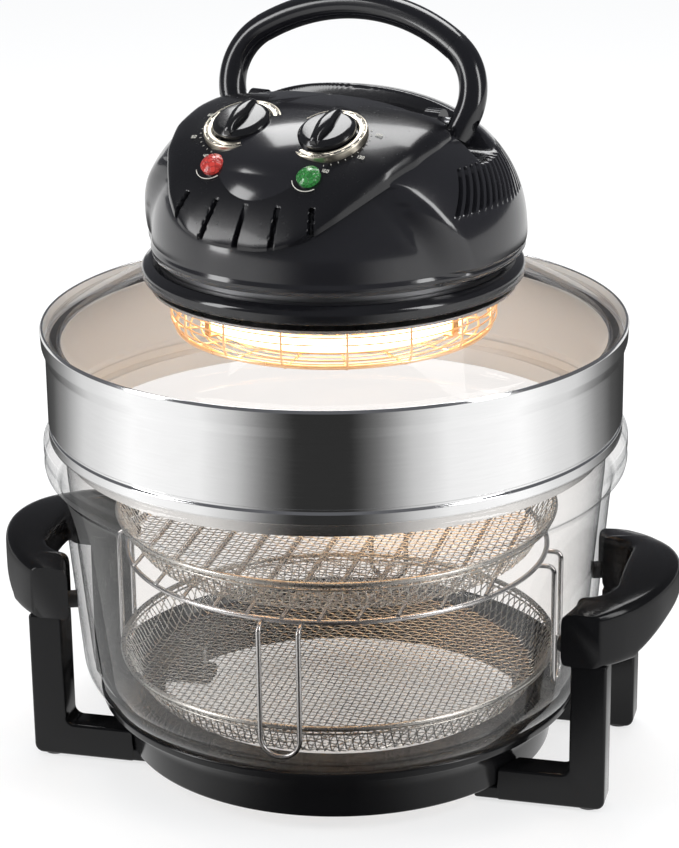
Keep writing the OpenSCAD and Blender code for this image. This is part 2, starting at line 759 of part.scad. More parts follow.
module knob(x) {
  head() on_panel(x, dial_tilt, 0.6) difference() {
    union() {
      cylinder(r = knob_radius, h = 3);
      translate([0, 0, 3]) cylinder(r = knob_radius - 2, h = 1.4);
      intersection() {
        translate([-4, -knob_radius, 2]) cube([8, 2 * knob_radius, 11]);
        cylinder(r = knob_radius - 0.6, h = 20);
      }
    }
    translate([0, 0, -1]) cylinder(r = rod_r + slip, h = 9.2);
  }
}
module timer_knob() color("#101012") knob(-dial_offset);
module thermostat_knob() color("#101012") knob(dial_offset);

module safety_switch() {
  color("#7a2b26")
  head() translate([30, pivot_y - 5, deck_z - cover_wall - 16]) cube([20, 10, 16]);
}

module terminal_block() {
  color("#e6e2d6")
  head() translate([-16, 58, plate_z + plate_t]) cube([32, 14, 12]);
}

module cord_inlet() {
  color("#1a1a1c")
  head() translate([0, dome_radius - 8, base_z + 14]) rotate([-90, 0, 0]) difference() {
    union() {
      cylinder(r = 7, h = 8);
      translate([0, 0, 7.8]) cylinder(r = 9, h = 3);
    }
    translate([0, 0, -1]) cylinder(r = 3.6, h = 14);
  }
}

// ================= Motor and fans =================
module motor_bracket() {
  color("#8f9196")
  head() difference() {
    translate([0, 0, bracket_z]) cylinder(r = standoff_ring + standoff_r, h = 2);
    translate([0, 0, bracket_z - 1]) cylinder(r = shaft_r + run, h = 4);
  }
}

module motor_standoffs() {
  color("#c6c7c9")
  head() for (a = [30, 150, 270]) rotate([0, 0, a])
    translate([standoff_ring, 0, plate_z + plate_t]) cylinder(r = standoff_r, h = bracket_z - plate_z - plate_t);
}

module motor_stator() {
  color("#7b5a3c")
  head() translate([0, 0, bracket_z + 2]) tube_cut(stator_r, stator_bore, stator_h);
}

module motor_cap() {
  color("#8f9196")
  head() translate([0, 0, cap_z]) tube_cut(stator_r, shaft_r + run, 2.5);
}

module shaft_bush() {
  color("#b08d57")
  translate([0, 0, plate_z - 3]) tube_cut(bush_r, shaft_r + run, 8);
}

module motor_shaft() {
  color("#b5b7ba")
  translate([0, 0, fan_z - 6]) cylinder(r = shaft_r, h = cap_z + 2 - fan_z + 6);
}

module motor_rotor() {
  color("#9a9ca0")
  translate([0, 0, bracket_z + 4]) tube_cut(stator_bore - rotor_gap, shaft_r + slip, stator_h - 4);
}

module fan(z, hub_r, hub_h, radius, blades, pitch) {
  translate([0, 0, z]) difference() {
    union() {
      cylinder(r = hub_r, h = hub_h);
      for (i = [0:blades - 1]) rotate([0, 0, i * 360 / blades])
        translate([hub_r - 1.5, 0, hub_h / 2]) rotate([pitch, 0, 0])
          translate([0, -hub_h * 0.5, -0.6]) cube([radius - hub_r, hub_h, 1.2]);
    }
    translate([0, 0, -1]) cylinder(r = shaft_r + slip, h = hub_h + 2);
  }
}
module cooling_fan() color("#7d7f84") fan(cool_fan_z, 9, 9, cool_fan_r, 7, 35);
module convection_fan() color("#a9abb0") fan(fan_z, 10, 10, hot_fan_radius, 8, 50);

module fan_nut() {
  color("#d0d1d3")
  translate([0, 0, fan_z - 4.5]) difference() {
    cylinder(r = 6, h = 4.4, $fn = 6);
    translate([0, 0, -1]) cylinder(r = shaft_r + slip, h = 7);
  }
}

// ================= Handle =================
module handle_bracket() {
  color("#222226")
  head() for (sx = [-1, 1]) difference() {
    translate([sx > 0 ? ear_out - ear_w : -ear_out, pivot_y, 0]) {
      translate([0, 0, pivot_z]) rotate([0, 90, 0]) cylinder(r = 7, h = ear_w);
      translate([0, -7, deck_z]) cube([ear_w, 14, pivot_z - deck_z]);
    }
    translate([-100, pivot_y, pivot_z]) rotate([0, 90, 0]) cylinder(r = rod_r + slip, h = 200);
  }
}

module handle_rod() {
  color("#c2c4c7")
  head() translate([-foot_x - 4, pivot_y, pivot_z]) rotate([0, 90, 0]) cylinder(r = rod_r, h = 2 * foot_x + 8);
}

// The handle's bar in its own plane: x across, y away from the pivot. Each
// length of the bar is sunk a little into the one before it.
module handle_side() {
  difference() {
    union() {
      translate([end_cx, end_cy, 0]) rotate([0, 0, -foot_angle])
        rotate_extrude(angle = 92 - end_angle + foot_angle) translate([end_arc, 0]) circle(r = bar_r - 0.15);
      translate([foot_x, foot_y, 0]) rotate([0, 0, -foot_angle]) rotate([90, 0, 0]) translate([0, 0, -1])
        cylinder(r = bar_r - 0.3, h = foot_len + 1);
    }
    translate([foot_x - 25, 0, 0]) rotate([0, 90, 0]) cylinder(r = rod_r + run, h = 40);
  }
}

module carry_handle() {
  color("#232328")
  head() translate([0, pivot_y, pivot_z]) rotate([90 - handle_lean, 0, 0]) {
    translate([0, handle_rise - top_arc, 0]) rotate([0, 0, 90 - end_angle])
      rotate_extrude(angle = 2 * end_angle) translate([top_arc, 0]) circle(r = bar_r);
    handle_side();
    mirror([1, 0, 0]) handle_side();
  }
}

base_ring();
seat_gasket();
left_front_leg();
left_rear_leg();
right_front_leg();
right_rear_leg();
left_grip();
right_grip();
bowl_bumpers();
rubber_feet();
leg_screws();
glass_bowl();
extender_ring();
high_rack();
upper_mesh_tray();
lower_mesh_tray();
lid_glass();
lid_seal();
lid_flange();
clamp_ring();
mounting_plate();
reflector();
lamp_sockets();
halogen_tube();
tube_clips();
heater_guard();
front_housing();
rear_cover();
control_panel();
left_dial_ring();
right_dial_ring();
red_lamp_lens();
green_lamp_lens();
lamp_holders();
timer();
thermostat();
safety_switch();
terminal_block();
motor_bracket();
motor_standoffs();
motor_stator();
motor_cap();
shaft_bush();
housing_screws();
handle_bracket();
handle_rod();
cord_inlet();
carry_handle();
timer_knob();
timer_spindle();
thermostat_knob();
thermostat_spindle();
motor_shaft();
motor_rotor();
cooling_fan();
convection_fan();
fan_nut();
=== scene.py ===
# %% [markdown]
# # A countertop halogen air fryer
# The construction model arrives as a fixed frame: every solid is where the maker's drawing puts it,
# in metres, with the table at z = 0 and the bowl's axis at x = y = 0. This script gives the solids
# their finishes and draws the pieces whose curves, wires and glow need more than a plain solid.

import math

import bmesh
import bpy
import numpy as np
from mathutils import Euler, Matrix


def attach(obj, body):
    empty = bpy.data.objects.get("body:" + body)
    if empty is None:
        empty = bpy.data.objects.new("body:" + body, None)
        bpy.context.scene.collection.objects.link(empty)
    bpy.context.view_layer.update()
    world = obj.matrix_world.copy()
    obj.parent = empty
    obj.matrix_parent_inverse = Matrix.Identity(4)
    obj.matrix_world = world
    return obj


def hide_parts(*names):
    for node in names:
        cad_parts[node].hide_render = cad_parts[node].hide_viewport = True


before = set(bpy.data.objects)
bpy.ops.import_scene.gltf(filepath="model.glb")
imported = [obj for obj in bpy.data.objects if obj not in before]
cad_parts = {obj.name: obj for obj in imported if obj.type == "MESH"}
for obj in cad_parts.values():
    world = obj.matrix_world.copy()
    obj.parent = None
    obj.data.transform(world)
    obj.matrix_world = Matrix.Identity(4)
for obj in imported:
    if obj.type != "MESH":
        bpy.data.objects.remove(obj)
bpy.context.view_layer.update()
MM = 0.001

# %% [markdown]
# ## Camera first
# The appliance is seen from a little above and from its right. A long lens keeps the bowl's rim
# ellipses flat, as in a catalogue picture. The aim is a point on the axis, and the camera stands on
# a sphere round it, so two angles and a distance say where it is.

# %% Camera
AIM = np.array([0.0, 0.0, 0.1935])
CAMERA_DISTANCE = 1.54352
CAMERA_AZIMUTH = math.radians(14.5)
CAMERA_ELEVATION = math.radians(19.47)
CAMERA_ROLL = math.radians(-0.73)
SENSOR_MM = 36.0
LONG_SIDE_PX, FOCAL_PX, SHIFT_PX = 848, 2743.22, 3.94

camera_data = bpy.data.cameras.new("camera")
camera_data.sensor_fit = "VERTICAL"
camera_data.sensor_height = SENSOR_MM
camera_data.lens = SENSOR_MM * FOCAL_PX / LONG_SIDE_PX
camera_data.shift_x = SHIFT_PX / LONG_SIDE_PX
camera = bpy.data.objects.new("camera", camera_data)
bpy.context.scene.collection.objects.link(camera)
bpy.context.scene.camera = camera
reach = CAMERA_DISTANCE * math.cos(CAMERA_ELEVATION)
camera.location = (
    AIM[0] + reach * math.sin(CAMERA_AZIMUTH),
    AIM[1] - reach * math.cos(CAMERA_AZIMUTH),
    AIM[2] + CAMERA_DISTANCE * math.sin(CAMERA_ELEVATION),
)
upright = Euler((math.pi / 2 - CAMERA_ELEVATION, 0.0, CAMERA_AZIMUTH)).to_matrix()
camera.rotation_euler = (upright @ Matrix.Rotation(CAMERA_ROLL, 3, "Z")).to_euler()
print("lens", round(camera_data.lens, 2), "mm")

# %% [markdown]
# ## A small language for finishes
# A finish is a graph of nodes. Writing the graph as sums and products is easier to read than wiring
# it by hand, so one class wraps a socket and turns each operator into a Math node, and one method
# makes any other node from its type, its settings and its inputs.

# %% Sockets that can be added and multiplied
class Value:
    """A number that varies over the surface. Each operator adds one Math node to the graph."""

    def __init__(self, paint, socket):
        self.paint, self.socket = paint, socket

    def maths(self, operation, *others):
        """One Math node: this value is its first input, the others follow."""
        inputs = {0: self}
        inputs.update({i + 1: other for i, other in enumerate(others)})
        return self.paint.node("ShaderNodeMath", {"operation": operation}, inputs).value()

    def __add__(self, other):
        return self.maths("ADD", other)

    __radd__ = __add__

    def __mul__(self, other):
        return self.maths("MULTIPLY", other)

    __rmul__ = __mul__

    def __sub__(self, other):
        return self.maths("SUBTRACT", other)

    def __rsub__(self, other):
        return (self * -1.0) + other

    def __pow__(self, other):
        return self.maths("POWER", other)

    def __truediv__(self, other):
        return self.maths("DIVIDE", other)

    def clamp(self, low=0.0, high=1.0):
        """The value, held between low and high."""
        return self.maths("MINIMUM", high).maths("MAXIMUM", low)

    def above(self, edge, softness):
        """0 below the edge and 1 above it, with a ramp as wide as the softness."""
        return ((self - edge) * (1.0 / softness) + 0.5).clamp()


# %% One paint, one graph
class Node:
    """A node whose outputs are asked for by name."""

    def __init__(self, paint, node):
        self.paint, self.raw = paint, node

    def value(self, name=0):
        return Value(self.paint, self.raw.outputs[name])


class Paint:
    """A material and the few calls that fill its graph."""

    def __init__(self, name):
        self.material = bpy.data.materials.new(name)
        self.material.use_nodes = True
        self.tree = self.material.node_tree
        self.tree.nodes.clear()
        self.output = self.tree.nodes.new("ShaderNodeOutputMaterial")
        self.place = self.node("ShaderNodeTexCoord").value("Object")

    def node(self, kind, settings=None, inputs=None):
        """Adds one node: its settings first, a ramp's stops among them, then its inputs."""
        raw = self.tree.nodes.new(kind)
        for key, setting in (settings or {}).items():
            if key == "stops":
                while len(raw.color_ramp.elements) < len(setting):
                    raw.color_ramp.elements.new(0.5)
                for element, (position, colour) in zip(raw.color_ramp.elements, setting):
                    element.position = position
                    element.color = (*colour, 1.0)
            else:
                setattr(raw, key, setting)
        for name, given in (inputs or {}).items():
            self.feed(raw.inputs[name], given)
        return Node(self, raw)

    def feed(self, socket, given):
        """Links a value or a node to a socket, or sets a number or a colour on it."""
        if isinstance(given, Value):
            self.tree.links.new(given.socket, socket)
        elif isinstance(given, Node):
            self.tree.links.new(given.raw.outputs[0], socket)
        elif isinstance(given, (tuple, list)) and len(given) == 3 and socket.type == "RGBA":
            socket.default_value = (*given, 1.0)
        else:
            socket.default_value = given

    def noise(self, scale, detail=3.0, rough=0.5, stretch=(1.0, 1.0, 1.0)):
        """Cloudy variation from 0 to 1; the stretch squeezes it along the three axes."""
        moved = self.node("ShaderNodeMapping", inputs={"Vector": self.place, "Scale": stretch})
        return self.node(
            "ShaderNodeTexNoise",
            inputs={"Vector": moved, "Scale": scale, "Detail": detail, "Roughness": rough},
        ).value(0)

    def axis(self, name):
        """The place along one axis, in metres."""
        return self.node("ShaderNodeSeparateXYZ", inputs={0: self.place}).value(name)

    def blend(self, factor, low, high):
        """A colour that goes from low to high as the factor goes from 0 to 1."""
        mix = self.node(
            "ShaderNodeMix", {"data_type": "RGBA"}, {"Factor": factor, 6: low, 7: high}
        )
        return mix.value(2)

    def bump(self, height, depth, strength=1.0):
        """A normal that leans with the slope of the height; the depth is in metres."""
        inputs = {"Height": height, "Distance": depth, "Strength": strength}
        return self.node("ShaderNodeBump", inputs=inputs).value(0)

    def mixed(self, factor, low, high):
        """A shader that goes from low to high as the factor goes from 0 to 1."""
        return self.node("ShaderNodeMixShader", inputs={0: factor, 1: low, 2: high})

    def finished(self, shader):
        """The end of the graph."""
        self.feed(self.output.inputs[0], shader)
        return self.material

    def surface(self, sockets):
        """The everyday shader, as the end of the graph."""
        return self.finished(self.node("ShaderNodeBsdfPrincipled", inputs=sockets))


print("ready to mix finishes")

# %% [markdown]
# ## Finishes
# Moulded plastic is never one flat colour: the mould leaves a faint grain, hands leave it a little
# smoother or duller in patches, and specks of dust dull it. A picture of worn plastic wrapped round
# the piece would do it too, but noise needs no seams and works on every shape. Four noises at four
# sizes are used: wide clouds and a smaller haze for the polish, fine grain for the bump, and sparse
# specks for dust.

# %% Moulded plastic
def plastic(name, colour, rough, grain=0.00004, coat=0.0, variation=0.12, dust=0.05, gloss=0.5):
    """Colour and roughness wander with wide clouds; the grain is a fine bump."""
    paint = Paint(name)
    clouds = paint.noise(9.0, 4.0)
    haze = paint.noise(38.0, 3.0, 0.6)
    fine = paint.noise(1500.0, 2.0)
    specks = paint.noise(420.0, 1.0).above(0.72, 0.05)
    low = tuple(c * (1.0 - variation) for c in colour)
    high = tuple(min(1.0, c * (1.0 + variation) + 0.002) for c in colour)
    tone = paint.blend(clouds, low, high)
    pale = tuple(min(1.0, c * 1.5 + dust * 0.25) for c in colour)
    tone = paint.blend(specks * dust, tone, pale)
    sheen = (clouds - 0.5) * 0.12 + (haze - 0.5) * 0.08 + specks * 0.06 + rough
    return paint.surface(
        {
            "Base Color": tone,
            "Roughness": sheen.clamp(0.04, 1.0),
            "Specular IOR Level": gloss,
            "Coat Weight": coat,
            "Coat Roughness": 0.08,
            "Normal": paint.bump(fine + haze * 0.6, grain),
        }
    )


# %% [markdown]
# Steel is all reflection, so what makes it look like steel is how the polish varies. A spun ring is
# brushed round its axis: the noise is squeezed hard along z and left long round the ring. Wire is
# drawn and plated, with soft ripples and a few darker spots where food has burnt on.

# %% Steel, wire and other metals
BURNT = (0.25, 0.16, 0.09)


def metal(name, colour, rough, stretch, brush, depth, stain):
    """Streaks run where the stretch is small; stains are sparse clouds of a darker colour."""
    paint = Paint(name)
    streaks = paint.noise(brush, 4.0, 0.6, stretch)
    clouds = paint.noise(14.0, 4.0, 0.55)
    low = tuple(c * 0.86 for c in colour)
    tone = paint.blend(streaks * 0.6 + clouds * 0.4, low, colour)
    spots = paint.noise(55.0, 5.0, 0.7).above(0.62, 0.14)
    tone = paint.blend(spots * stain, tone, BURNT)
    sheen = (streaks - 0.5) * 0.16 + (clouds - 0.5) * 0.1 + spots * stain * 0.3 + rough
    return paint.surface(
        {
            "Base Color": tone,
            "Metallic": 1.0,
            "Roughness": sheen.clamp(0.03, 1.0),
            "Normal": paint.bump(streaks, depth),
        }
    )


# %% [markdown]
# Clear glass shows itself in two ways: it mirrors the room where the surface turns away from the
# eye, and it darkens a little there because the look goes through more of it. A true glass shader
# bends light and keeps the lamps out of the bowl. A mix of a clear shader and a mirror, driven by
# how far the surface turns away, gives both effects and lets the lamps light what is inside.

# %% Clear glass
def clear_glass(name, tint, edge, shine=0.6, glint=0.03):
    """From the tint to the edge's colour with turned^4, and from clear to mirror with
    shine turned^5 + glint, plus a little on greasy marks."""
    paint = Paint(name)
    swirl = paint.noise(7.0, 2.0)
    marks = paint.noise(60.0, 5.0, 0.7).above(0.66, 0.2)
    normal = paint.bump(swirl, 0.0007)
    facing = paint.node("ShaderNodeLayerWeight", inputs={"Blend": 0.5, "Normal": normal})
    turned = facing.value("Facing")
    face_on = paint.node("ShaderNodeBsdfTransparent", inputs={"Color": tint})
    side_on = paint.node("ShaderNodeBsdfTransparent", inputs={"Color": edge})
    clear = paint.mixed((turned ** 4.0).clamp(), face_on, side_on)
    mirror = paint.node(
        "ShaderNodeBsdfPrincipled",
        inputs={
            "Base Color": (0.97, 0.98, 0.98),
            "Metallic": 1.0,
            "Roughness": (marks * 0.12 + 0.02).clamp(0.0, 1.0),
            "Normal": normal,
        },
    )
    factor = ((turned ** 5.0) * shine + marks * 0.015 + glint).clamp(0.0, 0.95)
    return paint.finished(paint.mixed(factor, clear, mirror))


# %% [markdown]
# Rubber and fired clay have no gloss to speak of: a dull, mottled surface is enough.

# %% Rubber and ceramic
def rubber(name, colour, rough=0.75):
    """Dull, slightly mottled, with a fine pebbled bump."""
    paint = Paint(name)
    clouds = paint.noise(30.0, 4.0)
    pebbles = paint.noise(900.0, 2.0)
    low = tuple(c * 0.8 for c in colour)
    high = tuple(c * 1.25 + 0.004 for c in colour)
    return paint.surface(
        {
            "Base Color": paint.blend(clouds, low, high),
            "Roughness": ((clouds - 0.5) * 0.15 + rough).clamp(0.2, 1.0),
            "Normal": paint.bump(pebbles, 0.00008),
        }
    )


# %% [markdown]
# The lamp is lit. Its tube shines by itself, white where the coil inside is looked at and orange
# towards the tube's edges. The wire guard beside it mirrors that glow, and a painted dull orange
# glow in patches stands in for the lamp's light falling on the wire.
# The two signal lenses are cut plastic, lit from behind, so their facets differ in brightness.

# %% Glowing things, and a painted glow on the guard
WHITE_HOT, ORANGE, TUBE_STRENGTH = (1.0, 0.88, 0.68), (1.0, 0.5, 0.16), 8.5


def hot_quartz(name):
    """White-hot where the look goes through the coil, orange at the tube's edges."""
    paint = Paint(name)
    turned = paint.node("ShaderNodeLayerWeight", inputs={"Blend": 0.5}).value("Facing")
    coil = paint.noise(160.0, 1.0)
    inner, outer = (
        paint.node("ShaderNodeEmission", inputs={"Color": colour, "Strength": TUBE_STRENGTH})
        for colour in (WHITE_HOT, ORANGE)
    )
    light = paint.mixed((turned * 1.25 + (coil - 0.5) * 0.3).clamp(), inner, outer)
    clear = paint.node("ShaderNodeBsdfTransparent", inputs={"Color": (1.0, 0.9, 0.75)})
    return paint.finished(paint.mixed((0.95 - (turned ** 2.0) * 0.5).clamp(), clear, light))


def painted_glow_wire(name):
    """Steel wire beside the lamp: a warm-tinted mirror with a painted dull orange glow in
    patches, for the lamp's light on it.
    """
    paint = Paint(name)
    patches = paint.noise(90.0, 3.0)
    return paint.surface(
        {
            "Base Color": paint.blend(patches, (0.7, 0.5, 0.34), (0.85, 0.72, 0.55)),
            "Metallic": 1.0,
            "Roughness": ((patches - 0.5) * 0.2 + 0.3).clamp(0.05, 1.0),
            # painted glow: the guard's wire shines orange in patches for the lamp's light on it
            "Emission Color": paint.blend(patches, (0.95, 0.42, 0.14), (1.0, 0.62, 0.32)),
            "Emission Strength": 0.55,
        }
    )


def lens_finish(name, colour, core, strength):
    """A cut plastic lens with a lamp behind it: brighter facets, darker edge."""
    paint = Paint(name)
    facets = paint.node(
        "ShaderNodeTexVoronoi", {"feature": "DISTANCE_TO_EDGE"},
        {"Vector": paint.place, "Scale": 420.0},
    ).value("Distance")
    cells = (facets * 6.0).clamp()
    return paint.surface(
        {
            "Base Color": paint.blend(cells, tuple(c * 0.55 for c in colour), colour),
            "Roughness": 0.12,
            "Coat Weight": 0.6,
            "Coat Roughness": 0.05,
            "Emission Color": paint.blend(cells, tuple(c * 0.3 for c in core), core),
            "Emission Strength": strength,
            "Normal": paint.bump(cells, 0.0003, 0.6),
        }
    )


print("recipes for plastic, metal, glass, rubber and glow")

# %% [markdown]
# ## The finishes of this appliance
# One line a finish. Round the bowl everything is near-black moulded plastic, the stand a touch
# blacker than the head. The steel ring is spun and polished, the wires are drawn and plated. The
# ring's inside is satin in the glow of the lamp, and the recipe for plastic in a pale colour gives
# that even sheen better than a mirror would. The streaks of a finish run round the axis, evenly in
# all directions, or in thin layers, as in the motor's stack of iron sheets.

# %% Mix them
AROUND, EVEN, LAYERED = (0.05, 0.05, 1.0), (1, 1, 1), (1, 1, 400)
finish = {
    "shell": plastic("shell_plastic", (0.011, 0.011, 0.0135), 0.17, 0.000006, 0.6),
    "console": plastic("console_plastic", (0.004, 0.004, 0.0055), 0.24, 0.000005, 0.3),
    "handle": plastic("handle_plastic", (0.006, 0.006, 0.008), 0.18, 0.000008, 0.45),
    "stand": plastic("stand_plastic", (0.0035, 0.0035, 0.004), 0.16, 0.00001, gloss=0.26),
    "base": plastic("base_plastic", (0.0035, 0.0035, 0.004), 0.14, 0.000008, gloss=0.34),
    "knob": plastic("knob_plastic", (0.006, 0.006, 0.007), 0.16, 0.000008, 0.5, dust=0.02),
    "flange": plastic("flange_plastic", (0.006, 0.006, 0.0075), 0.16, 0.000008, 0.5),
    "ring_steel": metal("ring_steel", (0.97, 0.97, 0.97), 0.11, AROUND, 900.0, 0.000004, 0.02),
    "ring_inside": plastic("ring_inside", (0.86, 0.93, 1.0), 0.22, 0.000008, 0.3, 0.03, 0.02),
    "sheet_steel": metal("sheet_steel", (0.72, 0.72, 0.74), 0.3, EVEN, 240.0, 0.00001, 0.1),
    "dark_steel": metal("dark_steel", (0.3, 0.3, 0.31), 0.4, EVEN, 300.0, 0.00001, 0.1),
    "mirror_steel": metal("mirror_steel", (1.0, 0.74, 0.46), 0.2, EVEN, 50.0, 0.00001, 0.12),
    "wire": metal("drawn_wire", (0.78, 0.78, 0.79), 0.2, EVEN, 400.0, 0.00001, 0.12),
    "mesh": metal("mesh_wire", (0.7, 0.69, 0.66), 0.28, EVEN, 700.0, 0.00001, 0.3),
    "brass": metal("tinted_brass", (0.72, 0.52, 0.3), 0.3, EVEN, 300.0, 0.00001, 0.3),
    "stator_iron": metal("stator_iron", (0.42, 0.27, 0.18), 0.5, LAYERED, 3.0, 0.00005, 0.2),
    "aluminium": metal("fan_aluminium", (0.8, 0.8, 0.82), 0.33, EVEN, 200.0, 0.00001, 0.08),
    "dial_metal": metal("dial_metal", (0.78, 0.72, 0.6), 0.3, EVEN, 800.0, 0.00001, 0.06),
    "glass": clear_glass("bowl_glass", (0.957, 0.949, 0.941), (0.86, 0.87, 0.88), shine=0.8),
    "lid_glass": clear_glass("lid_glass", (0.968, 0.955, 0.947), (0.8, 0.81, 0.82), glint=0.008),
    # the guard's wire, with a painted orange glow for the lamp's light on it
    "painted_glow_wire": painted_glow_wire("painted_glow_wire"),
    "hot_quartz": hot_quartz("hot_quartz"),
    "silicone": rubber("dark_silicone", (0.03, 0.03, 0.031)),
    "black_rubber": rubber("black_rubber", (0.012, 0.012, 0.012), 0.6),
    "foot_rubber": rubber("foot_rubber", (0.045, 0.045, 0.046)),
    "ceramic": rubber("ceramic", (0.82, 0.78, 0.7), 0.5),
    "white_plastic": plastic("white_plastic", (0.72, 0.7, 0.64), 0.45, 0.00003),
    "red_plastic": plastic("red_plastic", (0.25, 0.03, 0.025), 0.4, 0.00003),
    "red_lens": lens_finish("red_lens", (0.4, 0.035, 0.03), (1.0, 0.1, 0.07), 0.16),
    "green_lens": lens_finish("green_lens", (0.025, 0.16, 0.035), (0.12, 0.7, 0.16), 0.09),
    "ink": plastic("pale_ink", (0.62, 0.6, 0.54), 0.5, 0.00001),
}
print(len(finish), "finishes")

# %% [markdown]
# Every solid of the construction model gets its finish by name. The ones that a drawn piece stands
# for further on don't show, but they keep a finish that fits them.

# %% Finish for the solids
SOLID_FINISH = {
    "stand": "left_front_leg left_rear_leg right_front_leg right_rear_leg left_grip right_grip",
    "base": "base_ring",
    "silicone": "seat_gasket lid_seal",
    "black_rubber": "bowl_bumpers cord_inlet",
    "foot_rubber": "rubber_feet",
    "sheet_steel": "leg_screws housing_screws motor_bracket motor_standoffs motor_cap fan_nut"
                   " clamp_ring handle_rod motor_shaft motor_rotor",
    "ring_steel": "extender_ring",
    "glass": "glass_bowl",
    "lid_glass": "lid_glass",
    "wire": "high_rack heater_guard",
    "mesh": "upper_mesh_tray lower_mesh_tray",
    "flange": "lid_flange",
    "dark_steel": "mounting_plate",
    "mirror_steel": "reflector",
    "ceramic": "lamp_sockets",
    "hot_quartz": "halogen_tube",
    "brass": "tube_clips shaft_bush timer_spindle thermostat_spindle",
    "shell": "front_housing rear_cover",
    "console": "control_panel",
    "dial_metal": "left_dial_ring right_dial_ring",
    "red_lens": "red_lamp_lens",
    "green_lens": "green_lamp_lens",
    "white_plastic": "lamp_holders timer thermostat terminal_block",
    "red_plastic": "safety_switch",
    "stator_iron": "motor_stator",
    "handle": "handle_bracket carry_handle",
    "knob": "timer_knob thermostat_knob",
    "aluminium": "cooling_fan convection_fan",
}
for name, members in SOLID_FINISH.items():
    for member in members.split():
        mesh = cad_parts[member].data
        mesh.materials.clear()
        mesh.materials.append(finish[name])
print("solids with a finish:", sum(len(m.split()) for m in SOLID_FINISH.values()))

# %% [markdown]
# ## Drawing surfaces
# A surface is a grid of points worked out as one array. A shell collects grids, closes them where
# they meet themselves, caps open tubes, and becomes one mesh. Doubles are merged and the faces are
# turned outwards at the end, so poles and seams are tight.

# %% Grids into meshes
MERGE_WITHIN, NO_LENGTH = 2e-6, 1e-7


class Shell:
    """Grids of points that become one mesh."""

    def __init__(self):
        self.points, self.corners, self.sizes, self.count = [], [], [], 0

    def keep(self, points):
        """Stores the points and gives back their numbers in the same grid."""
        start = self.count
        self.points.append(points.reshape(-1, 3))
        self.count += points.size // 3
        return start + np.arange(points.size // 3).reshape(points.shape[:-1])

    def faces(self, corners):
        """Stores one face for each row of point numbers."""
        flat = corners.reshape(-1, corners.shape[-1])
        self.corners.append(flat.reshape(-1))
        self.sizes.append(np.full(len(flat), flat.shape[1]))

    def grid(self, points, around=True, along=False, caps=False):
        """Points of the shape (..., along, around, 3); two switches close the two directions."""
        index = self.keep(points)
        if around:
            index = np.concatenate([index, index[..., :1]], axis=-1)
        if along:
            index = np.concatenate([index, index[..., :1, :]], axis=-2)
        a, b = index[..., :-1, :-1], index[..., 1:, :-1]
        c, d = index[..., 1:, 1:], index[..., :-1, 1:]
        self.faces(np.stack([a, b, c, d], axis=-1))
        if caps:
            ring = index[..., :-1] if around else index
            self.faces(ring[..., 0, :])
            self.faces(ring[..., -1, ::-1])
        return self

    def mesh(self, name):
        """All grids as one mesh, its doubles merged and its faces turned outwards."""
        points = np.concatenate(self.points)
        corners = np.concatenate(self.corners).astype(np.int32)
        sizes = np.concatenate(self.sizes).astype(np.int32)
        mesh = bpy.data.meshes.new(name)
        mesh.vertices.add(len(points))
        mesh.vertices.foreach_set("co", points.astype(np.float32).ravel())
        mesh.loops.add(len(corners))
        mesh.loops.foreach_set("vertex_index", corners)
        mesh.polygons.add(len(sizes))
        mesh.polygons.foreach_set("loop_start", np.cumsum(sizes) - sizes)
        mesh.polygons.foreach_set("loop_total", sizes)
        mesh.update(calc_edges=True)
        work = bmesh.new()
        work.from_mesh(mesh)
        bmesh.ops.remove_doubles(work, verts=work.verts, dist=MERGE_WITHIN)
        bmesh.ops.dissolve_degenerate(work, edges=work.edges, dist=NO_LENGTH)
        bmesh.ops.recalc_face_normals(work, faces=work.faces)
        work.to_mesh(mesh)
        work.free()
        return mesh


def piece(name, shell, body, look, stands_for=(), crease=38.0):
    """Makes the object, smooths it up to the crease angle, and says what carries it."""
    mesh = shell.mesh(name)
    mesh.materials.append(finish[look])
    mesh.polygons.foreach_set("use_smooth", np.ones(len(mesh.polygons), bool))
    mesh.set_sharp_from_angle(angle=math.radians(crease))
    thing = bpy.data.objects.new(name, mesh)
    bpy.context.scene.collection.objects.link(thing)
    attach(thing, body)
    if stands_for:
        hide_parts(*([stands_for] if isinstance(stands_for, str) else stands_for))
    triangles = sum(len(p.vertices) - 2 for p in mesh.polygons)
    print(name, triangles, "triangles")
    return thing


# %% [markdown]
# Four ways of making a shape come back again and again: an outline whose corners are rounded, a
# profile spun round the axis, a bar swept along a path, and a circle whose sides are squared. The
# head has millimetres of its own, with its front at -y, and stands turned against the bowl.

# %% Turning and rounding
HEAD_TURN = math.radians(-15.0)
STRAIGHT = 1.555


def turned(points, angle):
    """Points turned about the bowl's axis: x and y mix by the angle's cosine and sine."""
    c, s = math.cos(angle), math.sin(angle)
    x, y = points[..., 0], points[..., 1]
    return np.stack([x * c - y * s, x * s + y * c, points[..., 2]], axis=-1)


def on_head(points):
    """From the head's own millimetres, front at -y, to the room's metres."""
    return turned(points, HEAD_TURN) * MM


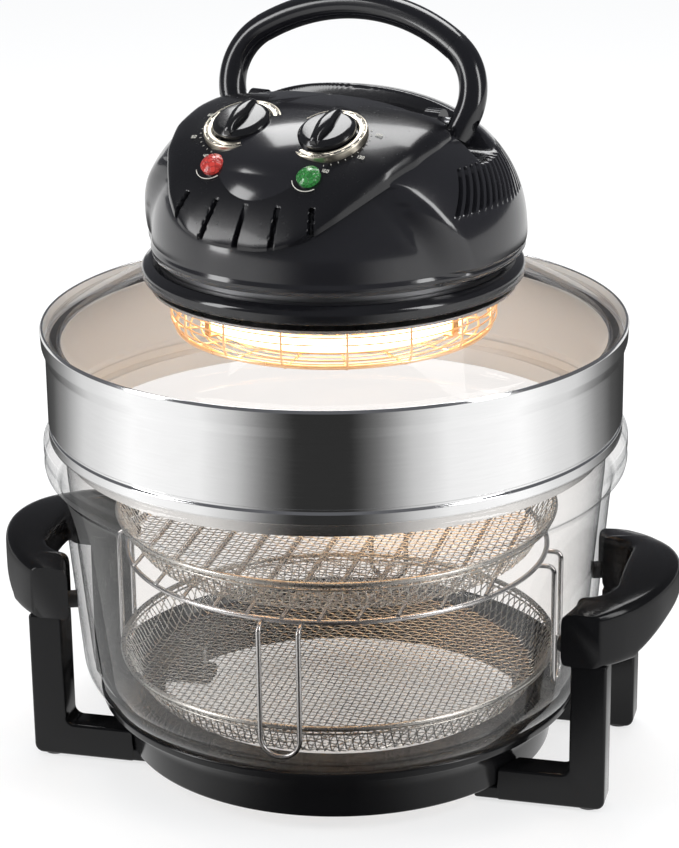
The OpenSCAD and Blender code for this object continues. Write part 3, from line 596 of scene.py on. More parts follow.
def rounded(corners, steps=6):
    """A closed outline whose corners (x, y, radius) are cut by arcs that touch both sides."""
    corners = np.array(corners, float)
    out = []
    for before, here, after in zip(np.roll(corners, 1, 0), corners, np.roll(corners, -1, 0)):
        a, b = before[:2] - here[:2], after[:2] - here[:2]
        la, lb = np.hypot(*a), np.hypot(*b)
        a, b = a / la, b / lb
        half = math.acos(float(np.clip(np.dot(a, b), -1, 1))) / 2
        if here[2] <= 0 or half > STRAIGHT:
            out.append(here[None, :2])
            continue
        cut = min(here[2] / math.tan(half), 0.49 * la, 0.49 * lb)
        radius = cut * math.tan(half)
        middle = here[:2] + (a + b) / np.hypot(*(a + b)) * radius / math.sin(half)
        first = np.arctan2(*(here[:2] + a * cut - middle)[::-1])
        last = np.arctan2(*(here[:2] + b * cut - middle)[::-1])
        sweep = (last - first + math.pi) % (2 * math.pi) - math.pi
        angle = first + sweep * np.linspace(0, 1, steps + 1)
        out.append(middle + radius * np.stack([np.cos(angle), np.sin(angle)], -1))
    return np.concatenate(out)


print("the head is turned by", round(math.degrees(HEAD_TURN)), "degrees")


# %% Spinning and sweeping
def spun(profile, steps=256):
    """A closed profile (radius, height) carried round the axis: x = r cos t, y = r sin t."""
    t = np.linspace(0, 2 * math.pi, steps, endpoint=False)
    r, z = profile[:, 0, None], profile[:, 1, None]
    return np.stack([r * np.cos(t), r * np.sin(t), np.broadcast_to(z, (len(profile), steps))], -1)


def hoop(radius, height, steps):
    """A level circle of points round the axis: x = r cos t, y = r sin t."""
    t = np.linspace(0, 2 * math.pi, steps, endpoint=False)
    return np.stack([radius * np.cos(t), radius * np.sin(t), np.full_like(t, height)], -1)


def squared(steps, power):
    """A circle swollen towards a square: cos t and sin t, each raised to the power with its sign
    kept."""
    t = np.linspace(0, 2 * math.pi, steps, endpoint=False)
    c, s = np.cos(t), np.sin(t)
    return np.sign(c) * np.abs(c) ** power, np.sign(s) * np.abs(s) ** power


def swept(path, radius, sides=10, up=(0.0, 0.0, 1.0), closed=False):
    """A round bar along one path or a stack of paths: centre + r (n cos t + b sin t), where n and b
    are square to the path's direction and n is also square to the up vector."""
    path = np.asarray(path, float)
    if closed:
        ahead = np.roll(path, -1, -2) - np.roll(path, 1, -2)
    else:
        ahead = np.gradient(path, axis=-2)
    ahead /= np.linalg.norm(ahead, axis=-1, keepdims=True)
    n = np.cross(np.broadcast_to(np.array(up, float), path.shape), ahead)
    n /= np.linalg.norm(n, axis=-1, keepdims=True)
    b = np.cross(ahead, n)
    t = np.linspace(0, 2 * math.pi, sides, endpoint=False)
    size = np.asarray(radius, float)
    size = size[..., None, None] if size.ndim else size
    return (path[..., None, :] + size * (n[..., None, :] * np.cos(t)[:, None]
                                         + b[..., None, :] * np.sin(t)[:, None]))


def ease(x, low, high):
    """0 below low, 1 above high, and smooth between."""
    t = np.clip((x - low) / (high - low), 0, 1)
    return t * t * (3 - 2 * t)


print("shells, sweeps and rounded outlines")

# %% [markdown]
# ## Glass bowl, steel ring and glass lid
# All three are bodies of revolution: a profile with softly rounded corners, carried round the axis.
# The bowl is pressed glass, so its foot turns up in one big radius and its rim is a thick band with
# two shallow beads. The ring is spun sheet with a rolled lip; the lid is a shallow glass cone.

# %% Bowl
bowl_profile = rounded([
    (0.0, 39, 0), (144.4, 39, 26), (155.7, 170, 9), (162.9, 175.5, 4), (163.8, 180, 2.5),
    (162.9, 183.5, 2.5), (163.8, 187.5, 2.5), (163.6, 194.7, 3.2), (152.5, 194.7, 1.6),
    (151.2, 170, 8), (139.7, 43.5, 21.5), (0.0, 43.5, 0)], 14)
piece("bowl_visual", Shell().grid(spun(bowl_profile) * MM), "bowl", "glass",
      "glass_bowl")

# %% [markdown]
# The steel ring's inside isn't polished like its outside: it is satin and lit by the lamp. One mesh
# can hold two finishes, so the faces that look at the axis are pointed at the second one.

# %% Steel ring
LIP_FOOT = 0.257
ring_profile = rounded([
    (150.6, 186, 0), (151.6, 186, 0), (151.6, 195, 0.6), (160.2, 195, 1.2), (160.5, 196.6, 0.6),
    (160.5, 201.2, 0.8), (159.5, 202.2, 0.8), (159.5, 203.2, 0.8), (160.5, 204.2, 0.8),
    (160.5, 242, 6), (162.6, 248.4, 5), (163.0, 256.2, 1.0), (162.3, 258.1, 0.7),
    (161.2, 257.6, 0.5), (161.4, 249.8, 3), (161.0, 248.2, 0.5), (151.5, 248.2, 0.3),
    (151.5, 247.2, 0.3), (160.3, 247.2, 2), (159.5, 242, 5), (159.5, 205, 0.5), (158.5, 203.5, 0.5),
    (158.5, 202, 0.5), (159.5, 200.5, 0.5), (159.5, 196, 0.6), (150.6, 196, 0.4)], 5)
steel = piece("ring_visual", Shell().grid(spun(ring_profile, 320) * MM, along=True), "extender",
              "ring_steel", "extender_ring", crease=50).data
steel.materials.append(finish["ring_inside"])
middles, normals = np.empty(len(steel.polygons) * 3), np.empty(len(steel.polygons) * 3)
steel.polygons.foreach_get("center", middles)
steel.polygons.foreach_get("normal", normals)
middles, normals = middles.reshape(-1, 3), normals.reshape(-1, 3)
inward = (middles[:, :2] * normals[:, :2]).sum(1) < -0.3 * np.hypot(*middles[:, :2].T)
inside = (inward & (middles[:, 2] < LIP_FOOT)).astype(np.int32)
steel.polygons.foreach_set("material_index", inside)
print("faces on the ring's inside:", int(inside.sum()))

# %% Lid glass and flange
lid_profile = rounded([
    (153.6, 249.5, 0.8), (159.2, 249.5, 1.6), (159.2, 255.4, 3.5), (153.4, 257.6, 7),
    (94.0, 289.0, 0.4), (94.0, 283.9, 0.4), (151.5, 253.2, 4)], 7)
piece("lid_glass_visual", Shell().grid(spun(lid_profile) * MM, along=True), "lid",
      "lid_glass", "lid_glass")
flange_profile = rounded([
    (94.2, 289.4, 0.3), (103.8, 284.0, 1.2), (105.4, 284.4, 2.0), (105.6, 290.6, 3.4),
    (101.2, 293.6, 2.4), (96.2, 293.9, 0.5), (96.2, 291.9, 0.3), (91.5, 291.9, 0.3),
    (91.5, 290.4, 0.3)], 8)
piece("flange_visual", Shell().grid(spun(flange_profile) * MM, along=True), "lid",
      "flange", "lid_flange", crease=60)

# %% [markdown]
# ## Stand
# The base ring is a flared cup, spun like the bowl. Legs are flat bars: an outline in the x-z plane
# with a soft radius on every edge, carried along y. A Bevel modifier could soften a plain bar, but
# its edges wouldn't stay clean where the bar's inner end follows the ring's curve. Each leg has a
# tongue as well, which is the part of the same bar that shows inside the ring.

# %% Base ring
base_profile = rounded([
    (100.6, 33.6, 0.5), (117.2, 33.6, 2), (117.2, 10, 0.8), (122.4, 10, 1.8), (123.2, 27, 12),
    (127.5, 36.4, 9), (136.9, 38.2, 1.6), (137.6, 43.4, 1.8), (134.5, 43.4, 0.4),
    (126.0, 39.4, 5), (117.6, 38.2, 2), (115.5, 37.0, 0.6), (100.6, 37.0, 0.5)], 8)
piece("base_visual", Shell().grid(spun(base_profile) * MM, along=True), "stand",
      "base", "base_ring", crease=50)


# %% Bars with soft edges
def soft_bar(outline, low, high, radius, steps=5):
    """An outline (x, z) carried along y from low to high: near both ends it is drawn in by
    r (1 - cos t), so the edges become quarter circles."""
    ahead = np.roll(outline, -1, 0) - np.roll(outline, 1, 0)
    ahead /= np.hypot(ahead[:, 0], ahead[:, 1])[:, None]
    inward = np.stack([-ahead[:, 1], ahead[:, 0]], -1)
    area = np.sum(outline[:, 0] * np.roll(outline[:, 1], -1) - np.roll(outline[:, 0], -1)
                  * outline[:, 1])
    inward *= 1.0 if area > 0 else -1.0
    t = np.linspace(math.pi / 2, 0, steps + 1)
    draw = np.concatenate([radius * (1 - np.cos(t)), radius * (1 - np.cos(t[::-1]))])
    level = np.concatenate([low + radius * (1 - np.sin(t)), high - radius * (1 - np.sin(t[::-1]))])
    flat = outline[None] + inward[None] * draw[:, None, None]
    rest = np.broadcast_to(level[:, None], flat.shape[:2])
    return np.stack([flat[..., 0], rest, flat[..., 1]], -1)


print("rings of points along a bar:", soft_bar(base_profile, 0.0, 10.0, 1.0).shape[0])

# %% Legs
LEG_INNER, LEG_OUTER, TONGUE_INSET = 45.0, 63.0, 0.4
RING_SIDE, ARM_END = 122.8, 123.9
SIDES = (("left", -1.0), ("right", 1.0))
leg_outline = rounded([(123.6, 1.5, 2), (166, 1.5, 5), (166, 87.9, 2), (146, 87.9, 2),
                       (146, 21, 5), (124.2, 21, 2)], 6)
tongue_outline = rounded([(93, 1.9, 1.5), (115, 1.9, 1.5), (115, 9.6, 1.5), (93, 9.6, 1.5)], 3)


def to_ring(bar):
    """The arm's inner end, drawn at |x| = 123.9, moves in to the ring's round side, where
    x^2 + y^2 = 122.8^2. The shift fades out by |x| = 136, so the post stays."""
    size, y, z = np.abs(bar[..., 0]), bar[..., 1], bar[..., 2]
    shift = ARM_END - np.sqrt(RING_SIDE ** 2 - y * y)
    return np.stack([np.sign(bar[..., 0]) * (size - shift * (1 - ease(size, 126, 136))), y, z], -1)


for side, sign in SIDES:
    mirror = np.array([sign, 1.0])
    for end, back in (("front", -1.0), ("rear", 1.0)):
        low, high = sorted((back * LEG_INNER, back * LEG_OUTER))
        leg = Shell().grid(to_ring(soft_bar(leg_outline * mirror, low, high, 1.6)) * MM, caps=True)
        tongue = soft_bar(tongue_outline * mirror, low + TONGUE_INSET, high - TONGUE_INSET, 1.2)
        leg.grid(tongue * MM, caps=True)
        piece(f"{side}_{end}_leg_visual", leg, "stand", "stand",
              f"{side}_{end}_leg")

# %% [markdown]
# A grip is a bent bar. Its inner and outer edges are two curves in plan, and its top and bottom are
# low arches that drop towards the posts. Sections between the curves are circles squared almost to
# boxes, so every edge is soft. The bowl's rim leaves room for fingers in the middle.

# %% Grips
GRIP_ARC, GRIP_END, POST_TOP = 79.0, 64.8, 88.1


def resampled(path, count):
    """The same path with its points at even steps of length."""
    length = np.concatenate([[0], np.cumsum(np.hypot(*np.diff(path, axis=0).T))])
    at = np.linspace(0, length[-1], count)
    return np.stack([np.interp(at, length, path[:, i]) for i in (0, 1)], -1)


def grip_surface(sign):
    """Sections from the inner edge to the outer one, as rounded boxes between two arches:
    top = 125 - y^2 / 611 and, between the posts, bottom = 30 + sqrt(75^2 - y^2)."""
    count = 90
    beta = np.linspace(-1, 1, 60) * math.asin(GRIP_END / GRIP_ARC)
    outer = np.stack([117 + GRIP_ARC * np.cos(beta), GRIP_ARC * np.sin(beta)], -1)
    corner = np.linspace(-math.pi / 2, 0, 12)
    bend = np.stack([145 + 20 * np.cos(corner), -25 + 20 * np.sin(corner)], -1)
    inner = np.concatenate([[(140.6, -64.6), (143.6, -57), (147.2, -46.2)], bend])
    inner = np.concatenate([inner, inner[::-1] * np.array([1, -1])])
    inner, outer = resampled(inner, count), resampled(outer, count)
    across, upright = squared(40, 0.3)
    middle = (inner + outer) / 2
    half = (outer - inner) / 2 * 0.995
    y = middle[:, 1]
    top = 125 - y ** 2 / 611
    arch = 30 + np.sqrt(np.maximum(75 ** 2 - y ** 2, 1))
    bottom = np.where(np.abs(y) < 45, np.maximum(arch, POST_TOP), POST_TOP)
    x = middle[:, 0, None] + half[:, 0, None] * across
    depth = middle[:, 1, None] + half[:, 1, None] * across
    z = (top + bottom)[:, None] / 2 + (top - bottom)[:, None] / 2 * upright
    crown = 0.8 * (1 - across ** 2) * (upright > 0)
    return np.stack([x * sign, depth, z - 0.8 + crown], -1) * MM


for side, sign in SIDES:
    piece(f"{side}_grip_visual", Shell().grid(grip_surface(sign), caps=True), "stand",
          "stand", f"{side}_grip", crease=60)

# %% [markdown]
# ## Wire work
# The trays are woven mesh pressed into a dish: each wire is a straight line in plan that follows
# the dish's height, which is flat in the middle and climbs near the rim, plus a small wave where it
# passes over and under the wires that cross it. A pattern of holes on a sheet would be lighter, but
# it would look printed from close by. All wires of one direction are one array.

# %% Mesh trays
TRAY_RIM, TRAY_FLAT, TRAY_DEEP = 123.0, 113.0, 19.4


def tray(base, pitch=4.0, gauge=0.36):
    """Woven wires, a rolled rim and a second hoop a little under it. A wire's height is 0.9 over
    the base, plus 19.4 e^0.9 where e eases from 0 to 1 near the rim, plus 0.36 cos(pi run / pitch)
    for the weave."""
    count = int(TRAY_RIM / pitch)
    lines = np.arange(-count, count + 1) * pitch
    lines = lines[np.abs(lines) < TRAY_RIM - 2]
    t = np.linspace(-1, 1, 2 * len(lines) + 1)
    half = np.sqrt(TRAY_RIM ** 2 - lines ** 2)
    shell = Shell()
    for way in (0, 1):
        run = half[:, None] * t
        across = np.broadcast_to(lines[:, None], run.shape)
        away = np.hypot(run, across)
        climb = TRAY_DEEP * ease(away, TRAY_FLAT - 2.0, TRAY_RIM + 1.5) ** 0.9
        turn = math.pi * (np.arange(len(lines))[:, None] + way)
        wave = gauge * np.cos(math.pi * run / pitch + turn)
        height = base + 0.9 + climb + wave
        path = np.stack([run, across, height] if way == 0 else [across, run, height], -1)
        shell.grid(swept(path, gauge, 4) * MM, caps=True)
    for radius, height, wire in ((123.96, 20.0, 1.5), (123.4, 16.6, 0.55)):
        ring = hoop(radius, base + height, 220)
        shell.grid(swept(ring, wire, 12, closed=True) * MM, along=True)
    return shell


piece("upper_tray_visual", tray(127.4), "upper_tray", "mesh", "upper_mesh_tray", 70)
piece("lower_tray_visual", tray(43.9), "lower_tray", "mesh", "lower_mesh_tray", 70)

# %% [markdown]
# The guard keeps food and hands off the lamp. Its spokes are one bent path, carried round the axis,
# and hoops tie them: three thick ones that hold the shape, and thin ones in between.

# %% Guard under the lamp
GUARD_LOW, GUARD_TOP, GUARD_RADIUS, GUARD_EYE, SPOKES = 253.14, 280.9, 90.0, 18, 16


def guard():
    """Spokes from an inner hoop, round a soft corner and up to the lid, tied by hoops."""
    low, top, radius = GUARD_LOW, GUARD_TOP, GUARD_RADIUS
    corners = [(GUARD_EYE, low, 0), (radius, low, 9), (radius, top, 0), (0, top + 60, 0)]
    bend = rounded(corners, 8)[:-1]
    spread = (np.arange(SPOKES) + 0.5) * 2 * math.pi / SPOKES
    r, z = bend[:, 0], bend[:, 1]
    path = np.stack([r * np.cos(spread)[:, None], r * np.sin(spread)[:, None],
                     np.broadcast_to(z, (SPOKES, len(z)))], -1)
    side = np.stack([-np.sin(spread), np.cos(spread), np.zeros(SPOKES)], -1)
    shell = Shell().grid(swept(path, 0.7, 8, np.broadcast_to(side[:, None], path.shape)), caps=True)
    hoops = [(GUARD_EYE, low, 1.3), (radius - 2.6, low + 2.6, 1.2), (radius, top, 1.2)]
    hoops += [(size, low, 0.5) for size in range(26, 84, 6)]
    hoops += [(radius, low + 7 + 4.2 * k, 0.45) for k in range(5)]
    for size, height, wire in hoops:
        shell.grid(swept(hoop(size, height, 200), wire, 8, closed=True), along=True)
    shell.points = [turned(p, HEAD_TURN) * MM for p in shell.points]
    return shell


# the guard's finish paints an orange glow for the lamp's light on it
piece("guard_visual", guard(), "lid", "painted_glow_wire", "heater_guard", 70)

# %% [markdown]
# ## Head
# The rear cover is a dome of revolution: R(z) = 106.5 (1 - t^2.2)^0.385 with t = (z - 306.7) / 76.
# The front body is the same dome drawn in by a few millimetres inside a crease, a curve of azimuth
# against height that climbs from the foot to the console. On both flanks the grid's columns bunch
# up in sixes, and three of each six are pushed in: those are the vent slots. Cutting them with a
# Boolean would leave long thin faces that catch the light, so the grid makes them itself.

# %% Dome
DOME_Z, DOME_H, DOME_R = 306.7, 76.0, 106.5


def dome_radius(z):
    """R(z) = 106.5 (1 - t^2.2)^0.385 above z = 306.7, and a short flared foot below it."""
    t = np.clip((z - DOME_Z) / DOME_H, 0, 1)
    up = DOME_R * (1 - t ** 2.2) ** 0.385
    foot = np.interp(z, [297.74, 301.7, DOME_Z], [103.5, 106.1, DOME_R])
    return np.where(z < DOME_Z, foot, up)


print("the dome's radius half way up:", round(float(dome_radius(DOME_Z + DOME_H / 2)), 1), "mm")

# %% Vents
VENT_FIRST, VENT_STEP, VENT_COUNT, VENT_DEPTH = 71.0, 3.45, 14, 4.5
VENT_LOW, VENT_HIGH = (332.8, 335.0), (353.2, 355.4)


def head_columns():
    """Azimuths in degrees: even steps, and six to a slot where the vents are. The second array
    is 1 in a slot and 0 elsewhere."""
    slot = np.array([0.0, 0.2, 0.32, 0.5, 0.68, 0.8])
    deep = np.array([0.0, 0.0, 1.0, 1.0, 1.0, 0.0])
    start = VENT_FIRST + VENT_STEP * np.arange(VENT_COUNT)
    vent = (start[:, None] + VENT_STEP * slot).ravel()
    end = VENT_FIRST + VENT_STEP * VENT_COUNT
    front, rear = np.arange(0.4, VENT_FIRST - 0.3, 0.8), np.arange(end, 179.9, 1.2)
    side = np.concatenate([front, vent, rear])
    level = np.concatenate([0 * front, np.tile(deep, VENT_COUNT), 0 * rear])
    return np.concatenate([-side[::-1], side]), np.concatenate([level[::-1], level])


print("columns round the head:", len(head_columns()[0]))

# %% Cover of the head
HEAD_FOOT, CHANNEL_FLOOR = 297.9, 353.0
FOOT_ROWS, DOME_ROWS = 8, 142


def head_shell():
    """The whole cover as one grid of heights and azimuths, azimuth 0 at the front. Round the vents
    the columns lean, so the slots slant as one row. Across the top runs the channel in which the
    folded handle lies."""
    low = np.linspace(HEAD_FOOT, DOME_Z, FOOT_ROWS + 1)[:-1]
    t = np.sin(np.linspace(0, math.pi / 2, DOME_ROWS)) ** 0.75
    z = np.concatenate([low, DOME_Z + DOME_H * t])[:, None]
    base, level = head_columns()
    size = np.abs(base)
    near = ease(size, 60.0, 70.0) * (1 - ease(size, 120.0, 135.0))
    lean = near * ease(z, 318.0, 334.0) * (1 - ease(z, 356.0, 372.0)) * (z - 344.0) * 0.42
    degrees = size + lean
    r = dome_radius(z) + 0 * degrees
    crease = np.interp(z, [297, 306, 320, 330, 342, 351, 356], [75, 74, 70, 66, 60, 54, 46])
    inside = 1 - ease(degrees, crease - 15.0, crease + 2.0)
    depth = np.interp(z, [297, 304, 335, 356, 362], [3.5, 7.0, 8.0, 7.0, 5.0])
    r = r - depth * inside
    r = r - 1.2 * np.exp(-(((z - 303.2) / 0.9) ** 2)) * (1 - inside)
    r = r - VENT_DEPTH * level * ease(z, *VENT_LOW) * (1 - ease(z, *VENT_HIGH))
    angle = np.radians(degrees) * np.sign(base)
    x, y = r * np.sin(angle), -r * np.cos(angle)
    top = z + 0 * angle
    channel = ease(y, -1.0, 6.5) * (1 - ease(y, 26.5, 35.0))
    top = top - np.maximum(top - CHANNEL_FLOOR, 0) * channel
    return np.stack([x, y, top], -1)


piece("head_cover", Shell().grid(on_head(head_shell()), caps=True), "lid",
      "shell", ("front_housing", "rear_cover"), crease=62)

# %% [markdown]
# ## Console
# The console is a cushion over the front of the head. Its outline in plan is a rounded shield; from
# its lower lip it rises steeply and then bends over into a gently arched top. With rho from 0 at
# the middle to 1 at the outline, z = lip + (top - lip) (1 - rho^p)^(1/p); a large p keeps the top
# flat and the shoulder tight. Five short notches are cut in the front lip.

# %% Skin and outline of the console
NOTCHES = np.radians([-23.0, -11.5, 0.0, 11.5, 23.0])
NOTCH_DEPTH, NOTCH_EDGES, CONSOLE_MIDDLE = 4.0, (0.9, 1.5), -38.0
ARC_Y, ARC_Z, ARC_R, CROWN = -4.0, 264.74, 118.0, 0.0009


def console_top(x, y):
    """A cylinder across the head, z = 264.74 + sqrt(118^2 - (y + 4)^2), crowned by 0.0009 x^2."""
    return ARC_Z + np.sqrt(np.maximum(ARC_R ** 2 - (y - ARC_Y) ** 2, 0)) - CROWN * x * x


def console_edge(steps=720):
    """The lip: listed corners (x, y, z) of one half, mirrored, spaced evenly and smoothed by a
    moving average."""
    keys = np.array([(0, -104.0, 321.5), (12, -104.2, 322), (22, -103.4, 323.5),
                     (32, -100.6, 326.5), (42, -94.5, 331), (51, -85.5, 338), (59, -74, 345),
                     (67, -61, 352), (73.5, -42, 357), (76, -20, 358.5), (75.5, -4, 358.5),
                     (71, 4, 358.0), (60, 5, 358), (30, 5, 358), (0, 5, 358)])
    outline = np.concatenate([keys, keys[-2:0:-1] * np.array([-1, 1, 1])])
    outline = np.concatenate([outline, outline[:1]])
    length = np.concatenate([[0], np.cumsum(np.hypot(*np.diff(outline[:, :2], axis=0).T))])
    at = np.linspace(0, length[-1], steps, endpoint=False)
    edge = np.stack([np.interp(at, length, outline[:, i]) for i in range(3)], -1)
    kernel = np.hanning(19)
    kernel /= kernel.sum()
    return np.stack([np.convolve(np.tile(edge[:, i], 3), kernel, "same")[steps:2 * steps]
                     for i in range(3)], -1)


print("console top over the axis:", round(float(console_top(0.0, 0.0)), 2), "mm")


# %% Console
def console_grid(edge, rings=90):
    """Rings from the middle to the lip, z = lip + (top - lip) (1 - rho^5)^(1/5). A notch draws its
    points towards the axis."""
    rho = (1 - (1 - np.linspace(0, 1, rings)) ** 2.2)[:, None]
    x = edge[:, 0] * rho
    y = CONSOLE_MIDDLE + (edge[:, 1] - CONSOLE_MIDDLE) * rho
    azimuth = np.arctan2(x, -y)
    z = edge[:, 2] + (console_top(x, y) - edge[:, 2]) * (1 - rho ** 5.0) ** (1 / 5.0)
    gap = np.min(np.abs(azimuth[..., None] - NOTCHES), axis=-1) * np.hypot(x, y)
    limit = 340.5 + np.abs(np.degrees(azimuth)) * 0.12
    cut = (1 - ease(gap, *NOTCH_EDGES)) * (1 - ease(z, limit, limit + 1.2)) * (y < -70)
    shrink = 1 - NOTCH_DEPTH * cut / np.hypot(x, y)
    return np.stack([x * shrink, y * shrink, z], -1)


def console():
    """The cushion, and under its lip two smaller rings that close it inside the head."""
    edge = console_edge()
    inner = edge * (0.94, 0.94, 1.0)
    lower = edge * (0.93, 0.93, 1.0) + (0.0, 0.0, 3.0)
    grid = np.concatenate([console_grid(edge), inner[None], lower[None]])
    return Shell().grid(on_head(grid), caps=True)


piece("console_visual", console(), "lid", "console", "control_panel", crease=50)

# %% [markdown]
# ## Dials, lamps and printed marks
# A dial sits on the console's cylinder, so a point (u, v, w) in the dial's own frame, with w along
# the spindle, lands at y = -4 + v cos t - (118 + w) sin t, z = 264.74 + v sin t + (118 + w) cos t
# for the dial's tilt t. Printed marks follow the cylinder: their tilt falls by v / 118.

# %% Frames on the console
DIAL_TILT, LAMP_TILT = math.radians(23), math.radians(38)
DIAL_X, LAMP_X = 26.0, 29.0


def on_console(points, x, tilt):
    """From a dial's or lamp's own frame to the head's, by the two sums above."""
    u, v, w = points[..., 0], points[..., 1], points[..., 2]
    c, s = np.cos(tilt), np.sin(tilt)
    return np.stack([x + u, ARC_Y + v * c - (ARC_R + w) * s, ARC_Z + v * s + (ARC_R + w) * c], -1)


def on_print(u, v, x, tilt, lift=0.02):
    """A point of the console's skin at (u, v) from the dial's centre: the tilt falls by v / 118,
    and the crown lowers the point by 0.0009 (x + u)^2."""
    u, v = np.asarray(u, float), np.asarray(v, float)
    flat = on_console(np.stack([u, 0 * u, 0 * u + lift], -1), x, tilt - v / ARC_R)
    return flat - np.stack([0 * u, 0 * u, CROWN * (x + u) ** 2], -1)


print("left dial's centre:", on_head(on_console(np.zeros(3), -DIAL_X, DIAL_TILT)).round(4), "m")

# %% [markdown]
# Print could be a picture on the console, but then it would need its own map. Real ink stands a
# little proud, so each stroke is a hair-thin bar that lies on the skin. Seven strokes spell any
# digit: (0, 0) is its middle, and it is 1 wide and 2 high.

# %% Strokes and digits
SKIN_UP = (0.0, -0.39, 0.92)
STROKE_GAP = 0.012


def strokes(shell, pairs, x, tilt, width):
    """Printed lines: each pair of (u, v) points becomes a thin raised bar. It stops just short of
    both points, so two bars in line never share an end face."""
    t = np.linspace(STROKE_GAP, 1 - STROKE_GAP, 5)
    for start, end in pairs:
        u, v = start[0] + (end[0] - start[0]) * t, start[1] + (end[1] - start[1]) * t
        bar = swept(on_print(u, v, x, tilt), width, 6, up=SKIN_UP)
        shell.grid(on_head(bar), caps=True)


BARS = {"a": ((-.5, 1), (.5, 1)), "b": ((.5, 1), (.5, 0)), "c": ((.5, 0), (.5, -1)),
        "d": ((-.5, -1), (.5, -1)), "e": ((-.5, 0), (-.5, -1)), "f": ((-.5, 1), (-.5, 0)),
        "g": ((-.5, 0), (.5, 0))}
DIGITS = {"0": "abcdef", "1": "bc", "2": "abged", "3": "abgcd", "4": "fgbc", "5": "afgcd",
          "6": "afgedc", "7": "abc", "8": "abcdefg", "9": "abcdfg"}


def number(shell, text, place, x, tilt, size=0.95):
    """Digits side by side, 1.75 sizes apart, centred on the place."""
    for i, digit in enumerate(text):
        left = place[0] + (i - (len(text) - 1) / 2) * size * 1.75
        strokes(shell, [((left + a[0] * size, place[1] + a[1] * size),
                         (left + b[0] * size, place[1] + b[1] * size))
                        for a, b in (BARS[k] for k in DIGITS[digit])], x, tilt, 0.17)


print("strokes in an 8:", len(DIGITS["8"]))

# %% [markdown]
# A dial is a pressed ring with a raised edge, and in it turns a knob: a low round foot with a bar
# across it that swells in the middle, where thumb and finger take it.

# %% Rings and knobs
ring_section = rounded([(16.6, -3.5, 0), (21.4, -3.5, 0), (21.4, 0.8, 0.7), (20.6, 1.2, 0.3),
                        (20.1, 0.75, 0.2), (19.4, 0.75, 0.2), (18.9, 1.15, 0.2),
                        (17.2, 1.15, 0.3), (16.6, 0.8, 0.2)], 3)
knob_section = rounded([(0, 0.7, 0), (15.7, 0.7, 0.4), (15.7, 3.4, 0.9), (14.6, 4.4, 0.8),
                        (13.2, 5.6, 3.0), (0, 6.2, 0)], 5)
BAR_REACH, BAR_FOOT = 15.1, 3.0


def dial_ring(x):
    """The ring's section, spun round the dial's own axis."""
    return Shell().grid(on_head(on_console(spun(ring_section, 120), x, DIAL_TILT)), along=True)


def knob(x):
    """A spun foot and a bar across it. With s = sqrt(1 - (v / 15.15)^2) along the bar, it is
    1.3 + 2.6 s^0.5 + 0.5 cos 0.3 v wide to each side and 5 + 5.2 s^0.8 high."""
    v = np.linspace(-BAR_REACH, BAR_REACH, 46)
    s = np.sqrt(np.clip(1 - (v / 15.15) ** 2, 0, 1))
    half = 1.3 + 2.6 * s ** 0.5 + 0.5 * np.cos(v * 0.3)
    high = 5.0 + 5.2 * s ** 0.8
    flat, rise = squared(28, 0.62)
    bar = np.stack([half[:, None] * flat, v[:, None] + 0 * flat,
                    BAR_FOOT + (high[:, None] - BAR_FOOT) * rise * (rise > 0)], -1)
    shell = Shell().grid(on_head(on_console(spun(knob_section, 96), x, DIAL_TILT)))
    return shell.grid(on_head(on_console(bar, x, DIAL_TILT)), caps=True)


for side, x, name in (("left", -DIAL_X, "timer"), ("right", DIAL_X, "thermostat")):
    piece(f"{side}_dial_ring_visual", dial_ring(x), "lid", "dial_metal",
          f"{side}_dial_ring", 50)
    piece(f"{name}_knob_visual", knob(x), f"{name}_dial", "knob",
          f"{name}_knob", 45)

# %% [markdown]
# Round each dial stand ticks and numbers, minutes on the left and degrees on the right. A number
# that would meet the other dial's in the middle is left out. Under each lamp lies a printed
# crescent, and in the groove of each dial ring runs a row of dashes.

# %% Printed marks
TICK_INNER, TICK_OUTER, NUMBER_RADIUS, CRESCENT_RADIUS = 22.6, 23.6, 26.8, 8.9
MINUTES = ("60", "50", "40", "30", "20", "10")
DEGREES = ("250", "220", "190", "160", "130", "100")


def polar(radius, angle):
    """The point (u, v) at a radius and an angle from the dial's centre."""
    return radius * np.cos(angle), radius * np.sin(angle)


marks = Shell()
for side, scale in ((-1, MINUTES), (1, DEGREES)):
    x = side * DIAL_X
    ticks = [(polar(TICK_INNER, a), polar(TICK_OUTER, a))
             for a in np.radians(np.arange(-210.0, 31.0, 10.0))]
    strokes(marks, ticks, x, DIAL_TILT, 0.16)
    for k, digits in enumerate(scale):
        place = polar(NUMBER_RADIUS, math.radians(-200 + 44 * k))
        if abs(x + place[0]) > 3.0:
            number(marks, digits, place, x, DIAL_TILT)
    u, v = polar(CRESCENT_RADIUS, np.radians(np.linspace(-155, -45, 12)))
    crescent = swept(on_print(u, v, side * LAMP_X, LAMP_TILT), 0.26, 6, up=SKIN_UP)
    marks.grid(on_head(crescent), caps=True)
piece("printed_marks", marks, "lid", "ink", crease=60)

# %% Dashes in the dial rings
DASH_RADIUS, DASH_HEIGHT = 19.75, 0.78
dashes = Shell()
for x in (-DIAL_X, DIAL_X):
    angle = np.radians(np.arange(0, 360, 18.0))[:, None] + np.radians(np.linspace(0, 12.5, 6))
    path = np.stack([*polar(DASH_RADIUS, angle), DASH_HEIGHT + 0 * angle], -1)
    dashes.grid(on_head(on_console(swept(path, 0.3, 6), x, DIAL_TILT)), caps=True)
piece("dial_dashes", dashes, "lid", "knob", crease=60)

# %% [markdown]
# ## Room and light
# A pale floor that reaches past the picture's edge, soft boxes left, right and above, and a grey
# sky. Seen straight on, the floor is almost white. What steel and glass mirror is a dark set behind
# the camera with bright screens left and right of it, so the mirrored floor runs from dark to
# bright with the angle from the camera: that puts one dark band in the middle of the steel ring.

